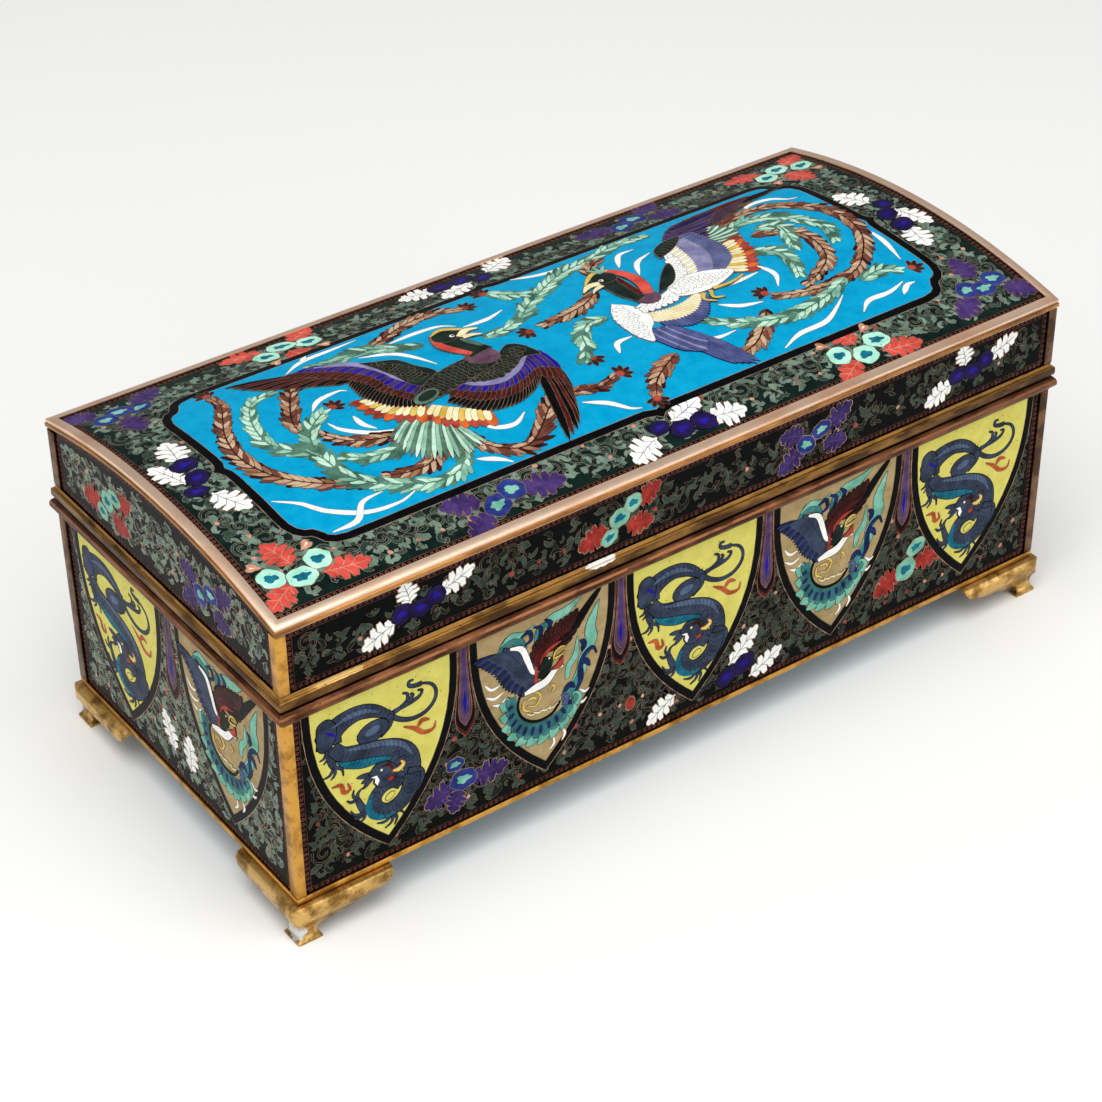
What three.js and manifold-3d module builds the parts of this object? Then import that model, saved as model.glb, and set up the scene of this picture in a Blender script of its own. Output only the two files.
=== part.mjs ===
// Cloisonne enamel box: a hollow copper box on four cast brass bracket feet, with a lift-off lid
// whose top is a shallow barrel dome. Brass mouldings run round the seam, brass edging frames the
// top of the lid, and brass angles cover the upright corners. The enamel is fused to the copper,
// so it is part of the body and of the lid.
//
// Millimetres, +Z up. The origin is at the centre of the box, on the surface that it stands on.
// +X runs along the length, and -Y is the front.
import * as THREE from "three";
import { mergeVertices } from "three/addons/utils/BufferGeometryUtils.js";
import Module from "manifold-3d";

const wasm = await Module();
wasm.setup();

// Driving dimensions of the box.
const LENGTH = 270; // over the enamelled end walls
const WIDTH = 121; // over the enamelled long walls
const WALL = 2; // copper sheet with enamel on both sides
const FOOT_HEIGHT = 13.2;
const BODY_HEIGHT = 65.4; // copper walls, from the underside to their bare top edge
const LID_WALL_HEIGHT = 25.2; // from the bare bottom edge of the lid to the edge of the dome
const DOME_RISE = 7.5; // crown of the dome above its long edges
const SEAM_GAP = 1.8; // between the bare edges of the body and lid, filled by the two rims
const FIT = 0.3; // gap left between pieces that touch

// Brass trim, measured from the enamel faces.
const TRIM_LIFT = 0.1; // back of a thin strip, in front of the enamel
const TRIM_FACE = 0.7; // face of a thin strip
const CORNER_LEG_LONG = 2.3; // leg of a corner strip on the long walls
const CORNER_LEG_END = 2.9; // leg of a corner strip on the end walls
const BASE_STRIP_HEIGHT = 1.7;
const EDGING_TOP_WIDTH = 1.9; // top edging, inward from the faces
const EDGING_OVERHANG = 0.8; // top edging, outward from the faces
const EDGING_SIDE_HEIGHT = 2; // side leg of the edging, below the edge of the dome
const RIM_HEIGHT = 4.4; // each seam moulding
const LID_RIM_OUT = 1.7;
const BODY_RIM_OUT = 2.4;
const COLLAR_HEIGHT = 3; // upstand inside the seam that keeps the lid in place
const COLLAR_THICKNESS = 0.8;

// Cast feet.
const FOOT_WING = 29; // from the corner of the box to the tip of a wing
const FOOT_TOE = 5.4; // length of the toe along each wall
const FOOT_BULGE = 3.2; // how far the moulding swells out
const FOOT_CORNER_RADIUS = 3.6; // rounding of the swell at the corner, seen from above
const FOOT_NECK = 1; // how far out the neck above the toe stands
const FOOT_TOE_OUT = 2.3; // how far the toe turns out
const FOOT_SHELL = 1.7; // thickness of the casting
const FOOT_FLANGE = 7; // solder flange under the floor
const FOOT_FLANGE_THICKNESS = 1.2;

// Worked out from the above.
const BODY_BOTTOM = FOOT_HEIGHT;
const BODY_TOP = BODY_BOTTOM + BODY_HEIGHT;
const LID_BOTTOM = BODY_TOP + SEAM_GAP;
const SEAM = (BODY_TOP + LID_BOTTOM) / 2;
const DOME_EDGE = LID_BOTTOM + LID_WALL_HEIGHT;
const DOME_RADIUS = (WIDTH * WIDTH / 4 + DOME_RISE * DOME_RISE) / (2 * DOME_RISE);
const DOME_CENTRE = DOME_EDGE + DOME_RISE - DOME_RADIUS;
const ARCH_STEPS = 28;
const CURVE_STEPS = 5;
const OVERCUT = 5; // how far a cutting solid passes the face that it cuts

// Materials.
const blackEnamel = new THREE.MeshStandardMaterial({ color: 0x14201d, roughness: 0.2, metalness: 0 });
const wornBrass = new THREE.MeshStandardMaterial({ color: 0xb98648, roughness: 0.35, metalness: 1 });
const darkBrass = new THREE.MeshStandardMaterial({ color: 0x8a6532, roughness: 0.4, metalness: 1 });
const giltBrass = new THREE.MeshStandardMaterial({ color: 0xd9af55, roughness: 0.3, metalness: 1 });

// A closed geometry as a solid that can be joined and cut.
function solidOf(geometry) {
  const bare = geometry.clone();
  bare.deleteAttribute("normal");
  bare.deleteAttribute("uv");
  const merged = mergeVertices(bare, 1e-5);
  const vertProperties = new Float32Array(merged.attributes.position.array);
  const triVerts = new Uint32Array(merged.index.array);
  return new wasm.Manifold(new wasm.Mesh({ numProp: 3, vertProperties, triVerts }));
}

// A solid back as a geometry with normals.
function geometryOf(solid) {
  const mesh = solid.getMesh();
  const geometry = new THREE.BufferGeometry();
  geometry.setAttribute("position", new THREE.BufferAttribute(mesh.vertProperties, 3));
  geometry.setIndex(new THREE.BufferAttribute(mesh.triVerts, 1));
  geometry.computeVertexNormals();
  return geometry;
}

// A block between two corners.
function block(low, high) {
  const size = high.map((value, axis) => value - low[axis]);
  const middle = high.map((value, axis) => (value + low[axis]) / 2);
  const geometry = new THREE.BoxGeometry(...size);
  geometry.translate(...middle);
  return solidOf(geometry);
}

// A block round the middle of the box, inset or outset from its wall faces by a distance.
function wallBlock(out, low, high) {
  const x = LENGTH / 2 + out;
  const y = WIDTH / 2 + out;
  return block([-x, -y, low], [x, y, high]);
}

// A shape drawn with Y to the right and Z up, extruded along X.
function alongX(shape, start, end) {
  const geometry = new THREE.ExtrudeGeometry(shape, { depth: end - start, bevelEnabled: false });
  const turn = new THREE.Matrix4().makeBasis(
    new THREE.Vector3(0, 1, 0),
    new THREE.Vector3(0, 0, 1),
    new THREE.Vector3(1, 0, 0),
  );
  geometry.applyMatrix4(turn);
  geometry.translate(start, 0, 0);
  return solidOf(geometry);
}

// A shape drawn with X to the right and Z up, extruded along Y.
function alongY(shape, start, end) {
  const geometry = new THREE.ExtrudeGeometry(shape, {
    depth: end - start,
    bevelEnabled: false,
    curveSegments: CURVE_STEPS,
  });
  geometry.rotateX(Math.PI / 2);
  geometry.translate(0, end, 0);
  return solidOf(geometry);
}

// Height of the dome at a distance from the middle line, for a surface offset from the enamel.
function domeHeight(y, offset) {
  const radius = DOME_RADIUS + offset;
  return DOME_CENTRE + Math.sqrt(radius * radius - y * y);
}

// A block with the dome for its top, outset from the wall faces, from a level or parallel curve.
function domedBlock(out, offset, bottomOffset, bottomLevel) {
  const half = WIDTH / 2 + out;
  const points = [];
  for (let step = 0; step <= ARCH_STEPS; step += 1) {
    const y = half - 2 * half * step / ARCH_STEPS;
    points.push(new THREE.Vector2(y, domeHeight(y, offset)));
  }
  for (let step = 0; step <= ARCH_STEPS; step += 1) {
    const y = -half + 2 * half * step / ARCH_STEPS;
    const curved = bottomOffset === null ? bottomLevel : domeHeight(y, bottomOffset);
    if (bottomOffset !== null || step === 0 || step === ARCH_STEPS) {
      points.push(new THREE.Vector2(y, curved));
    }
  }
  const reach = LENGTH / 2 + out;
  return alongX(new THREE.Shape(points), -reach, reach);
}

// A moulding mitred round the four walls. Its section is a closed outline of points that are
// outward from the wall faces and upward, drawn anticlockwise with outward to the right.
function mitredRing(section) {
  const inner = 10; // half the side of the square ring before its corners move out
  const points = section.map((p) => new THREE.Vector2(Math.SQRT2 * (inner + p.x), p.y));
  points.push(points[0].clone());
  const geometry = new THREE.LatheGeometry(points, 4, Math.PI / 4);
  geometry.rotateX(Math.PI / 2);
  const position = geometry.attributes.position;
  for (let index = 0; index < position.count; index += 1) {
    const x = position.getX(index);
    const y = position.getY(index);
    position.setX(index, x + Math.sign(x) * (LENGTH / 2 - inner));
    position.setY(index, y + Math.sign(y) * (WIDTH / 2 - inner));
  }
  return solidOf(geometry);
}

// Points of a section, from a list of pairs.
function outline(pairs) {
  return pairs.map(([x, y]) => new THREE.Vector2(x, y));
}

// The copper body: four walls and a floor, open at the top.
function body() {
  const outside = wallBlock(0, BODY_BOTTOM, BODY_TOP);
  const inside = wallBlock(-WALL, BODY_BOTTOM + WALL, BODY_TOP + OVERCUT);
  return outside.subtract(inside);
}

// The copper lid: four walls under the dome, open at the bottom.
function lid() {
  const outside = domedBlock(0, 0, null, LID_BOTTOM);
  const inside = domedBlock(-WALL, -WALL, null, LID_BOTTOM - OVERCUT);
  return outside.subtract(inside);
}

// The moulding on the bottom edge of the lid: a rounded band under a small step, turned in
// under the wall.
function lidRim() {
  const low = SEAM + FIT / 2;
  const high = LID_BOTTOM - FIT;
  const step = low + RIM_HEIGHT - 1.1;
  const top = low + RIM_HEIGHT;
  return mitredRing(outline([
    [-WALL, low],
    [LID_RIM_OUT - 0.8, low],
    [LID_RIM_OUT - 0.1, low + 0.7],
    [LID_RIM_OUT, low + 1.6],
    [LID_RIM_OUT - 0.1, step - 0.3],
    [LID_RIM_OUT - 0.4, step],
    [TRIM_FACE, step + 0.1],
    [TRIM_FACE - 0.1, top],
    [FIT, top],
    [FIT, high],
    [-WALL, high],
  ]));
}

// The moulding on the top edge of the body: a fuller rounded band over a small step. It turns in
// over the wall, and its collar stands up inside the lid.
function bodyRim() {
  const high = SEAM - FIT / 2;
  const low = BODY_TOP + FIT;
  const bottom = high - RIM_HEIGHT;
  const step = bottom + 1.1;
  const collarOut = -WALL - FIT;
  const collarIn = collarOut - COLLAR_THICKNESS;
  return mitredRing(outline([
    [FIT, bottom],
    [TRIM_FACE + 0.3, bottom],
    [TRIM_FACE + 0.4, step - 0.1],
    [BODY_RIM_OUT - 0.5, step],
    [BODY_RIM_OUT, step + 0.6],
    [BODY_RIM_OUT, step + 1.7],
    [BODY_RIM_OUT - 0.3, high - 0.8],
    [BODY_RIM_OUT - 1.1, high],
    [collarOut, high],
    [collarOut, high + COLLAR_HEIGHT],
    [collarIn, high + COLLAR_HEIGHT],
    [collarIn, low],
    [FIT, low],
  ]));
}

// The edging round the dome: a flat strip on top that overhangs a thinner strip on the walls.
function lidEdging() {
  const window = wallBlock(-EDGING_TOP_WIDTH, 0, 2 * DOME_EDGE);
  const top = domedBlock(EDGING_OVERHANG, TRIM_FACE, TRIM_LIFT, 0).subtract(window);
  const side = domedBlock(TRIM_FACE, FIT, -EDGING_SIDE_HEIGHT, 0).subtract(window);
  const room = domedBlock(TRIM_LIFT, TRIM_LIFT, null, 0);
  return top.add(side).subtract(room);
}

// The strip along the bottom edge of the body.
function baseStrip() {
  return mitredRing(outline([
    [TRIM_LIFT, BODY_BOTTOM],
    [TRIM_FACE, BODY_BOTTOM],
    [TRIM_FACE, BODY_BOTTOM + BASE_STRIP_HEIGHT],
    [TRIM_LIFT, BODY_BOTTOM + BASE_STRIP_HEIGHT],
  ]));
}

// A brass angle on an upright corner. Signs say which corner.
function cornerStrip(signX, signY, low, high) {
  const corner = (along, across, from, to) => {
    const x = [LENGTH / 2 + along[0], LENGTH / 2 + along[1]].map((value) => signX * value);
    const y = [WIDTH / 2 + across[0], WIDTH / 2 + across[1]].map((value) => signY * value);
    return block(
      [Math.min(...x), Math.min(...y), from],
      [Math.max(...x), Math.max(...y), to],
    );
  };
  const outside = corner([-CORNER_LEG_LONG, TRIM_FACE], [-CORNER_LEG_END, TRIM_FACE], low, high);
  const inside = corner(
    [-CORNER_LEG_LONG - OVERCUT, TRIM_LIFT],
    [-CORNER_LEG_END - OVERCUT, TRIM_LIFT],
    low - OVERCUT,
    high + OVERCUT,
  );
  return outside.subtract(inside);
}

// The section of a foot: it swells out under the box, draws in to a neck and turns out at the toe.
// The back follows the front, because the casting is hollow.
function footSection() {
  const top = FOOT_HEIGHT - FIT;
  const edge = TRIM_FACE + 0.1;
  const swell = FOOT_BULGE + 0.7;
  const back = TRIM_FACE - FOOT_SHELL;
  const shape = new THREE.Shape();
  shape.moveTo(edge, top);
  shape.bezierCurveTo(swell, top + 0.2, swell, top - 4.6, FOOT_NECK + 0.9, 6.2);
  shape.quadraticCurveTo(FOOT_NECK, 4.9, FOOT_NECK, 3.4);
  shape.quadraticCurveTo(FOOT_NECK + 0.1, 1.5, FOOT_TOE_OUT, 0.8);
  shape.lineTo(FOOT_TOE_OUT, 0);
  shape.lineTo(back, 0);
  shape.lineTo(back, 3.4);
  shape.bezierCurveTo(back + 0.3, 6.6, FOOT_BULGE - FOOT_SHELL, 8, FOOT_BULGE - FOOT_SHELL, top - 2);
  shape.lineTo(back, top - FOOT_FLANGE_THICKNESS);
  shape.lineTo(back, top);
  const points = shape.getPoints(CURVE_STEPS);
  return THREE.ShapeUtils.isClockWise(points) ? points.reverse() : points;
}

// The outline of a wing seen square on, from the corner to the tip: the toe, a hollow sweep, a
// cusp and a round-ended tip. Distances run from the corner of the box.
function wingOutline() {
  const shape = new THREE.Shape();
  shape.moveTo(-OVERCUT, -OVERCUT);
  shape.lineTo(FOOT_TOE, -OVERCUT);
  shape.lineTo(FOOT_TOE, 0.7);
  shape.quadraticCurveTo(FOOT_TOE - 1.1, 1.4, FOOT_TOE - 0.9, 3.2);
  shape.quadraticCurveTo(FOOT_TOE + 0.2, 4.4, FOOT_TOE + 3.8, 4.3);
  shape.quadraticCurveTo(FOOT_WING - 12.5, 5.2, FOOT_WING - 9.4, 6.8);
  shape.lineTo(FOOT_WING - 8.8, 7.6);
  shape.quadraticCurveTo(FOOT_WING - 0.4, 7.8, FOOT_WING, FOOT_HEIGHT);
  shape.lineTo(-OVERCUT, FOOT_HEIGHT);
  return shape;
}

// A plan that rounds off the swell of the feet at the corners of the box.
function roundedPlan() {
  const x = LENGTH / 2 + FOOT_BULGE;
  const y = WIDTH / 2 + FOOT_BULGE;
  const radius = FOOT_CORNER_RADIUS;
  const shape = new THREE.Shape();
  shape.moveTo(x - radius, -y);
  shape.absarc(x - radius, radius - y, radius, -Math.PI / 2, 0);
  shape.absarc(x - radius, y - radius, radius, 0, Math.PI / 2);
  shape.absarc(radius - x, y - radius, radius, Math.PI / 2, Math.PI);
  shape.absarc(radius - x, radius - y, radius, Math.PI, Math.PI * 1.5);
  const geometry = new THREE.ExtrudeGeometry(shape, {
    depth: FOOT_HEIGHT,
    bevelEnabled: false,
    curveSegments: CURVE_STEPS,
  });
  return solidOf(geometry);
}

// A cast foot at the front right corner, which the other three mirror.
function footFrontRight() {
  const moulding = mitredRing(footSection()).intersect(roundedPlan());
  const cornerX = LENGTH / 2;
  const cornerY = -WIDTH / 2;
  const inward = FOOT_SHELL - TRIM_FACE;

  const wing = wingOutline().getPoints(CURVE_STEPS);
  const longShape = new THREE.Shape(wing.map((p) => new THREE.Vector2(cornerX - p.x, p.y)).reverse());
  const longWing = moulding.intersect(alongY(longShape, cornerY - OVERCUT, cornerY + inward));

  const endShape = new THREE.Shape(wing.map((p) => new THREE.Vector2(cornerY + p.x, p.y)));
  const endWing = moulding.intersect(alongX(endShape, cornerX - inward, cornerX + OVERCUT));

  const flangeTop = FOOT_HEIGHT - FIT;
  const flangeBottom = flangeTop - FOOT_FLANGE_THICKNESS;
  const span = FOOT_WING - FOOT_FLANGE_THICKNESS;
  const longFlange = block(
    [cornerX - span, cornerY, flangeBottom],
    [cornerX, cornerY + FOOT_FLANGE, flangeTop],
  );
  const endFlange = block(
    [cornerX - FOOT_FLANGE, cornerY, flangeBottom],
    [cornerX, cornerY + span, flangeTop],
  );
  return longWing.add(endWing).add(longFlange).add(endFlange);
}

const group = new THREE.Group();

function addPiece(name, solid, material) {
  const mesh = new THREE.Mesh(geometryOf(solid), material);
  mesh.name = name;
  group.add(mesh);
}

addPiece("body", body(), blackEnamel);
addPiece("lid", lid(), blackEnamel);
addPiece("body_rim", bodyRim(), darkBrass);
addPiece("lid_rim", lidRim(), darkBrass);
addPiece("lid_edging", lidEdging(), wornBrass);
addPiece("base_strip", baseStrip(), giltBrass);

const bodyStripLow = BODY_BOTTOM + BASE_STRIP_HEIGHT + FIT;
const bodyStripHigh = SEAM - FIT / 2 - RIM_HEIGHT - FIT;
const lidStripLow = SEAM + FIT / 2 + RIM_HEIGHT + FIT;
const lidStripHigh = domeHeight(WIDTH / 2 + TRIM_FACE, -EDGING_SIDE_HEIGHT) - FIT;
const foot = footFrontRight();

for (const [side, signY] of [["front", -1], ["back", 1]]) {
  for (const [end, signX] of [["left", -1], ["right", 1]]) {
    const place = `${side}_${end}`;
    addPiece(
      `body_corner_strip_${place}`,
      cornerStrip(signX, signY, bodyStripLow, bodyStripHigh),
      giltBrass,
    );
    addPiece(
      `lid_corner_strip_${place}`,
      cornerStrip(signX, signY, lidStripLow, lidStripHigh),
      giltBrass,
    );
    const endways = signX < 0 ? foot.mirror([1, 0, 0]) : foot;
    addPiece(`foot_${place}`, signY > 0 ? endways.mirror([0, 1, 0]) : endways, giltBrass);
  }
}

export default group;
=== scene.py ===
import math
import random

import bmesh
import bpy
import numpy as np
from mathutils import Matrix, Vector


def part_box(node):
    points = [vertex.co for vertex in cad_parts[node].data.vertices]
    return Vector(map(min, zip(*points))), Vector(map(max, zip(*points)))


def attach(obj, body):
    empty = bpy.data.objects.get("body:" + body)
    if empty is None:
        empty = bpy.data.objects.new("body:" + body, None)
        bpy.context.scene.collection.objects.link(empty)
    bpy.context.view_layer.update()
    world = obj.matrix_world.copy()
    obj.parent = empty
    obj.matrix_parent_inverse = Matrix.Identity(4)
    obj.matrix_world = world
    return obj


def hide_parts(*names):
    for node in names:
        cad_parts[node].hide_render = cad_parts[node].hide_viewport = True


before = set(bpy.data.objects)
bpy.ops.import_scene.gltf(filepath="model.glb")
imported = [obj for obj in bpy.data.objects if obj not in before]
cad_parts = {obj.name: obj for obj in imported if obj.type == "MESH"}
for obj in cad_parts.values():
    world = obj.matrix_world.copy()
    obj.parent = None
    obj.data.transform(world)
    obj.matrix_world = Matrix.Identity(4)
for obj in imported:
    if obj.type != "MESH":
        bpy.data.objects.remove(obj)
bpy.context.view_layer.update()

# %% [markdown]
# # A cloisonne enamel box
# The real box is a copper box whose outside was drawn over with thin brass wires. The cells
# between the wires were filled with ground glass, fired, and polished flat. So the picture is a
# set of small flat cells with a line of brass round each, and it could be made as a texture or
# as real cells. Real cells are chosen, because they keep crisp edges from any distance. There are
# many thousands of them, so they are made by functions and not with the tools of edit mode.
#
# The lesson works in millimetres and turns them to metres in one place. First come the tools
# and the sizes, which are read from the frame.

MM = 0.001
bpy.ops.object.select_all(action="DESELECT")
random.seed(7)

LID = [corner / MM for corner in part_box("lid")]
BODY = [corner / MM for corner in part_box("body")]
HALF_LENGTH = BODY[1].x
HALF_WIDTH = BODY[1].y
CROWN = LID[1].z
DOME_RISE = 7.5  # the crown of the lid above its long edges
DOME_EDGE = CROWN - DOME_RISE
DOME_RADIUS = (HALF_WIDTH ** 2 + DOME_RISE ** 2) / (2 * DOME_RISE)
DOME_CENTRE = CROWN - DOME_RADIUS
LID_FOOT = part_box("lid_rim")[1].z / MM
LID_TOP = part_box("lid_edging")[0].z / MM
BODY_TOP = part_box("body_rim")[0].z / MM
BODY_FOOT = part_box("base_strip")[1].z / MM
print(f"box {2 * HALF_LENGTH:.0f} x {2 * HALF_WIDTH:.0f} x {CROWN:.0f} mm")

# %% [markdown]
# ## Faces of the box
# Each picture is drawn flat and then laid on a face of the box: across goes along the face,
# up goes up it (or towards the back, on the lid), and lift is the height over the enamel.
# The top of the lid is a shallow barrel, so there the up direction is measured along the arc.

# %% Laying a flat drawing on a face
ARC_HALF = DOME_RADIUS * math.asin(HALF_WIDTH / DOME_RADIUS)
STRIP = 3.0  # width of the flat strips that make up the curve of the dome
STRIPS = math.ceil(ARC_HALF / STRIP)
KNOTS = np.arange(-STRIPS, STRIPS + 1) * STRIP
KNOT_SIN, KNOT_COS = np.sin(KNOTS / DOME_RADIUS), np.cos(KNOTS / DOME_RADIUS)
print("the dome has", len(KNOTS) - 1, "strips")


def dome(y):
    """The height of the dome at a distance from its middle line."""
    return DOME_CENTRE + np.sqrt(DOME_RADIUS ** 2 - y ** 2)


def on_top(across, up, lift):
    """The dome as narrow flat strips, so that layers laid on it stay parallel."""
    reach = DOME_RADIUS + lift
    y = reach * np.interp(up, KNOTS, KNOT_SIN)
    z = DOME_CENTRE + reach * np.interp(up, KNOTS, KNOT_COS)
    return np.stack([across, y, z], axis=-1)


def on_front(across, up, lift):
    return np.stack([across, -HALF_WIDTH - lift, up], axis=-1)


def on_back(across, up, lift):
    return np.stack([-across, HALF_WIDTH + lift, up], axis=-1)


def on_left(across, up, lift):
    return np.stack([-HALF_LENGTH - lift, -across, up], axis=-1)


def on_right(across, up, lift):
    return np.stack([HALF_LENGTH + lift, across, up], axis=-1)


# %% [markdown]
# ## Cells and wires
# A cell is a thin plate: its face on top, and a strip of sides round it that goes down into the
# wall, where the plate is open. All cells of one colour are gathered and become one piece, so
# each piece has one enamel, as the enameller filled one colour at a time. The wire round a cell
# is a slightly larger brass plate just below it.

# %% The gatherer of cells
SUNK = 0.1  # how deep a plate goes into the wall
LAYER = 0.0009  # from one layer of plates to the next
TIE = 0.00009  # parts plates of one layer, so that no two faces coincide
TIES = 8  # after so many plates the ties start again
TINY = 1e-9  # keeps a length from being divided by nothing
BLUNT = 0.8  # how far a sharp corner may reach out when an outline grows
store = {}


def counter_clockwise(outline):
    x, y = outline[:, 0], outline[:, 1]
    area = np.sum(x * np.roll(y, -1) - y * np.roll(x, -1))
    return outline if area > 0 else outline[::-1]


def grown(outline, width):
    """The outline moved outward by width."""
    outline = counter_clockwise(outline)
    edge = np.roll(outline, -1, axis=0) - outline
    edge = edge / np.maximum(np.linalg.norm(edge, axis=1, keepdims=True), TINY)
    normal = np.stack([edge[:, 1], -edge[:, 0]], axis=-1)
    both = normal + np.roll(normal, 1, axis=0)
    size = np.maximum(np.sum(both * both, axis=1, keepdims=True), BLUNT)
    return outline + both * (2 * width / size)


def gather(part, colour, face, outline, lift):
    plates = store.setdefault((part, colour), [])
    tie = TIE * (len(plates) % TIES)
    plates.append((face, counter_clockwise(np.asarray(outline, float)), lift + tie))


def report(what):
    print(what + ":", sum(map(len, store.values())), "plates so far, in", len(store), "groups")


# %% Curves and outlines
def spline(points, steps=6):
    """A smooth curve through given points."""
    points = np.asarray(points, float)
    ends = np.vstack([2 * points[0] - points[1], points, 2 * points[-1] - points[-2]])
    t = np.linspace(0, 1, steps, endpoint=False)[:, None]
    pieces = []
    for a, b, c, d in zip(ends, ends[1:], ends[2:], ends[3:]):
        cubic = 2 * b + (c - a) * t + (2 * a - 5 * b + 4 * c - d) * t ** 2
        pieces.append((cubic + (3 * b - 3 * c + d - a) * t ** 3) / 2)
    return np.vstack(pieces + [points[-1:]])


def resampled(path, count):
    """Points evenly along a path, with the direction of the path at each."""
    step = np.linalg.norm(np.diff(path, axis=0), axis=1)
    along = np.concatenate([[0], np.cumsum(step)])
    want = np.linspace(0, along[-1], count)
    points = np.stack([np.interp(want, along, path[:, k]) for k in (0, 1)], axis=-1)
    heading = np.gradient(points, axis=0)
    heading /= np.maximum(np.linalg.norm(heading, axis=1, keepdims=True), TINY)
    return points, heading, along[-1]


def sideways(heading):
    """The directions to the left of the headings."""
    return np.stack([-heading[:, 1], heading[:, 0]], axis=-1)


def ribbon(points, widths, count):
    """An outline along a curve, whose width follows the widths given from end to end."""
    path, heading, _ = resampled(spline(points), count)
    half = np.interp(np.linspace(0, 1, count), np.linspace(0, 1, len(widths)), widths) / 2
    side = sideways(heading) * half[:, None]
    return np.vstack([path - side, (path + side)[::-1]])


def turned(points, degrees):
    """The points turned counter-clockwise round the origin."""
    angle = math.radians(degrees)
    cosine, sine = math.cos(angle), math.sin(angle)
    return np.asarray(points, float) @ np.array([[cosine, sine], [-sine, cosine]])


def disc(centre, radius, sides, squash=1.0, turn=0.0):
    angle = np.linspace(0, 2 * math.pi, sides, endpoint=False)
    ring = np.stack([radius * np.cos(angle), squash * radius * np.sin(angle)], axis=-1)
    return turned(ring, turn) + np.asarray(centre, float)


# %% Feathers and lobed leaves
def blade(base, tip, width, bend=0.0, point=0.75):
    """One feather: a long blade from its base to its tip, bent to one side."""
    base, tip = np.asarray(base, float), np.asarray(tip, float)
    along = tip - base
    side = np.array([-along[1], along[0]]) / max(np.linalg.norm(along), TINY)
    shape = [(0, 0.7), (0.3, 1), (point, 0.9), (0.93, 0.45)]
    left = [base + along * t + side * (width * w / 2 + bend * t * t) for t, w in shape]
    right = [base + along * t + side * (-width * w / 2 + bend * t * t) for t, w in shape]
    return np.array(left + [tip + side * bend] + right[::-1])


def lobe_edge():
    """One side of an oak leaf of unit size: lobes that lean to the tip, each with a dent in it."""
    points = [(0, 0.03), (0.06, 0.05)]
    for k, reach in enumerate((0.36, 0.54, 0.5, 0.33)):
        t = 0.1 + 0.2 * k
        points += [(t, 0.19), (t + 0.02, 0.72 * reach), (t + 0.06, reach)]
        points += [(t + 0.1, 0.93 * reach), (t + 0.15, 0.98 * reach), (t + 0.175, 0.62 * reach)]
    return np.array(points + [(0.9, 0.15), (0.96, 0.13)])


LOBE_EDGE = lobe_edge()


def lobed(length, width, bend=0.1):
    """An oak leaf from the origin along +x, with lobes on both sides, gently curved."""
    edge = LOBE_EDGE * (length, width)
    closed = np.vstack([edge * (1, -1), [(length, 0)], edge[::-1]])
    closed[:, 1] += bend * length * (closed[:, 0] / length) ** 2
    return spline(closed, 2)


# %% The pen that draws on a face
class Drawing:
    """A figure on one face. Each cell is laid over the ones before it."""

    def __init__(self, part, face, lift, place=(0, 0), size=(1, 1), pivot=(0, 0)):
        self.part, self.face, self.lift = part, face, lift
        self.place, self.size, self.pivot = np.array(place), np.array(size), np.array(pivot)
        self.edge = "wire"

    def cell(self, colour, outline, wire, rise=1):
        """One cell with a wire of the given width round it, or none where that is 0."""
        outline = (np.array(outline, float) - self.pivot) * self.size + self.pivot + self.place
        if wire:
            gather(self.part, self.edge, self.face, grown(outline, wire), self.lift)
        gather(self.part, colour, self.face, outline, self.lift + LAYER)
        self.lift += 2 * LAYER * rise

    def stroke(self, colour, points, widths, count, wire, rise=1):
        """A cell drawn as a ribbon along a curve."""
        self.cell(colour, ribbon(points, widths, count), wire, rise)

    def fan(self, colours, roots, tips, count, width, bend=0.0, wire=0.16):
        """Feathers side by side, from points along one curve to points along another."""
        root_points, _, _ = resampled(spline(roots), count)
        tip_points, _, _ = resampled(spline(tips), count)
        for k in range(count):
            feather = blade(root_points[k], tip_points[k], width, bend)
            self.cell(colours[k % len(colours)], feather, wire)


# %% [markdown]
# ## The black ground and its scrolls
# On the real box every part that has no picture is black-green enamel, with karakusa: wire
# spirals with curled leaves of grey-green glass, and small peach buds. One spiral is drawn by a
# function and scattered on a loose grid, each one turned and sized by chance, because the real
# ones are all alike but never in rows. Leaves that would cross the brass, or lie wholly under a
# picture, are left out.

# %% Walls of the box
CORNER_LONG, CORNER_END = 2.3, 2.9  # legs of the corner strips
EDGING = 1.9  # width of the brass edging on top of the lid
BAND = 2.0  # band of loops along the edges


class Wall:
    """A face of the box between its brass strips, and what pictures it holds."""

    def __init__(self, part, face, half, low, high, banded, centres=(), arched=False):
        self.part, self.face, self.half, self.low, self.high = part, face, half, low, high
        self.banded, self.centres, self.arched = banded, centres, arched
        # The front and back take the dim scroll tones, darker copies that stand for painted shade; the top
        # and the ends take the bright ones.
        self.tone = "dim" if face in (on_front, on_back) else "bright"

    def top(self, x):
        """The upper edge, which follows the dome on the ends of the lid."""
        if not self.arched:
            return self.high + 0 * x
        return self.high + dome(x) - dome(HALF_WIDTH)

    def inside(self, points, margin):
        """True where all the points keep a margin to the brass and to the bands."""
        x, y = points[:, 0], points[:, 1]
        width = self.half - margin - BAND
        low = self.low + margin + BAND
        high = self.top(x) - margin - (BAND if self.banded else 0)
        return bool(np.all((np.abs(x) < width) & (y > low) & (y < high)))


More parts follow.
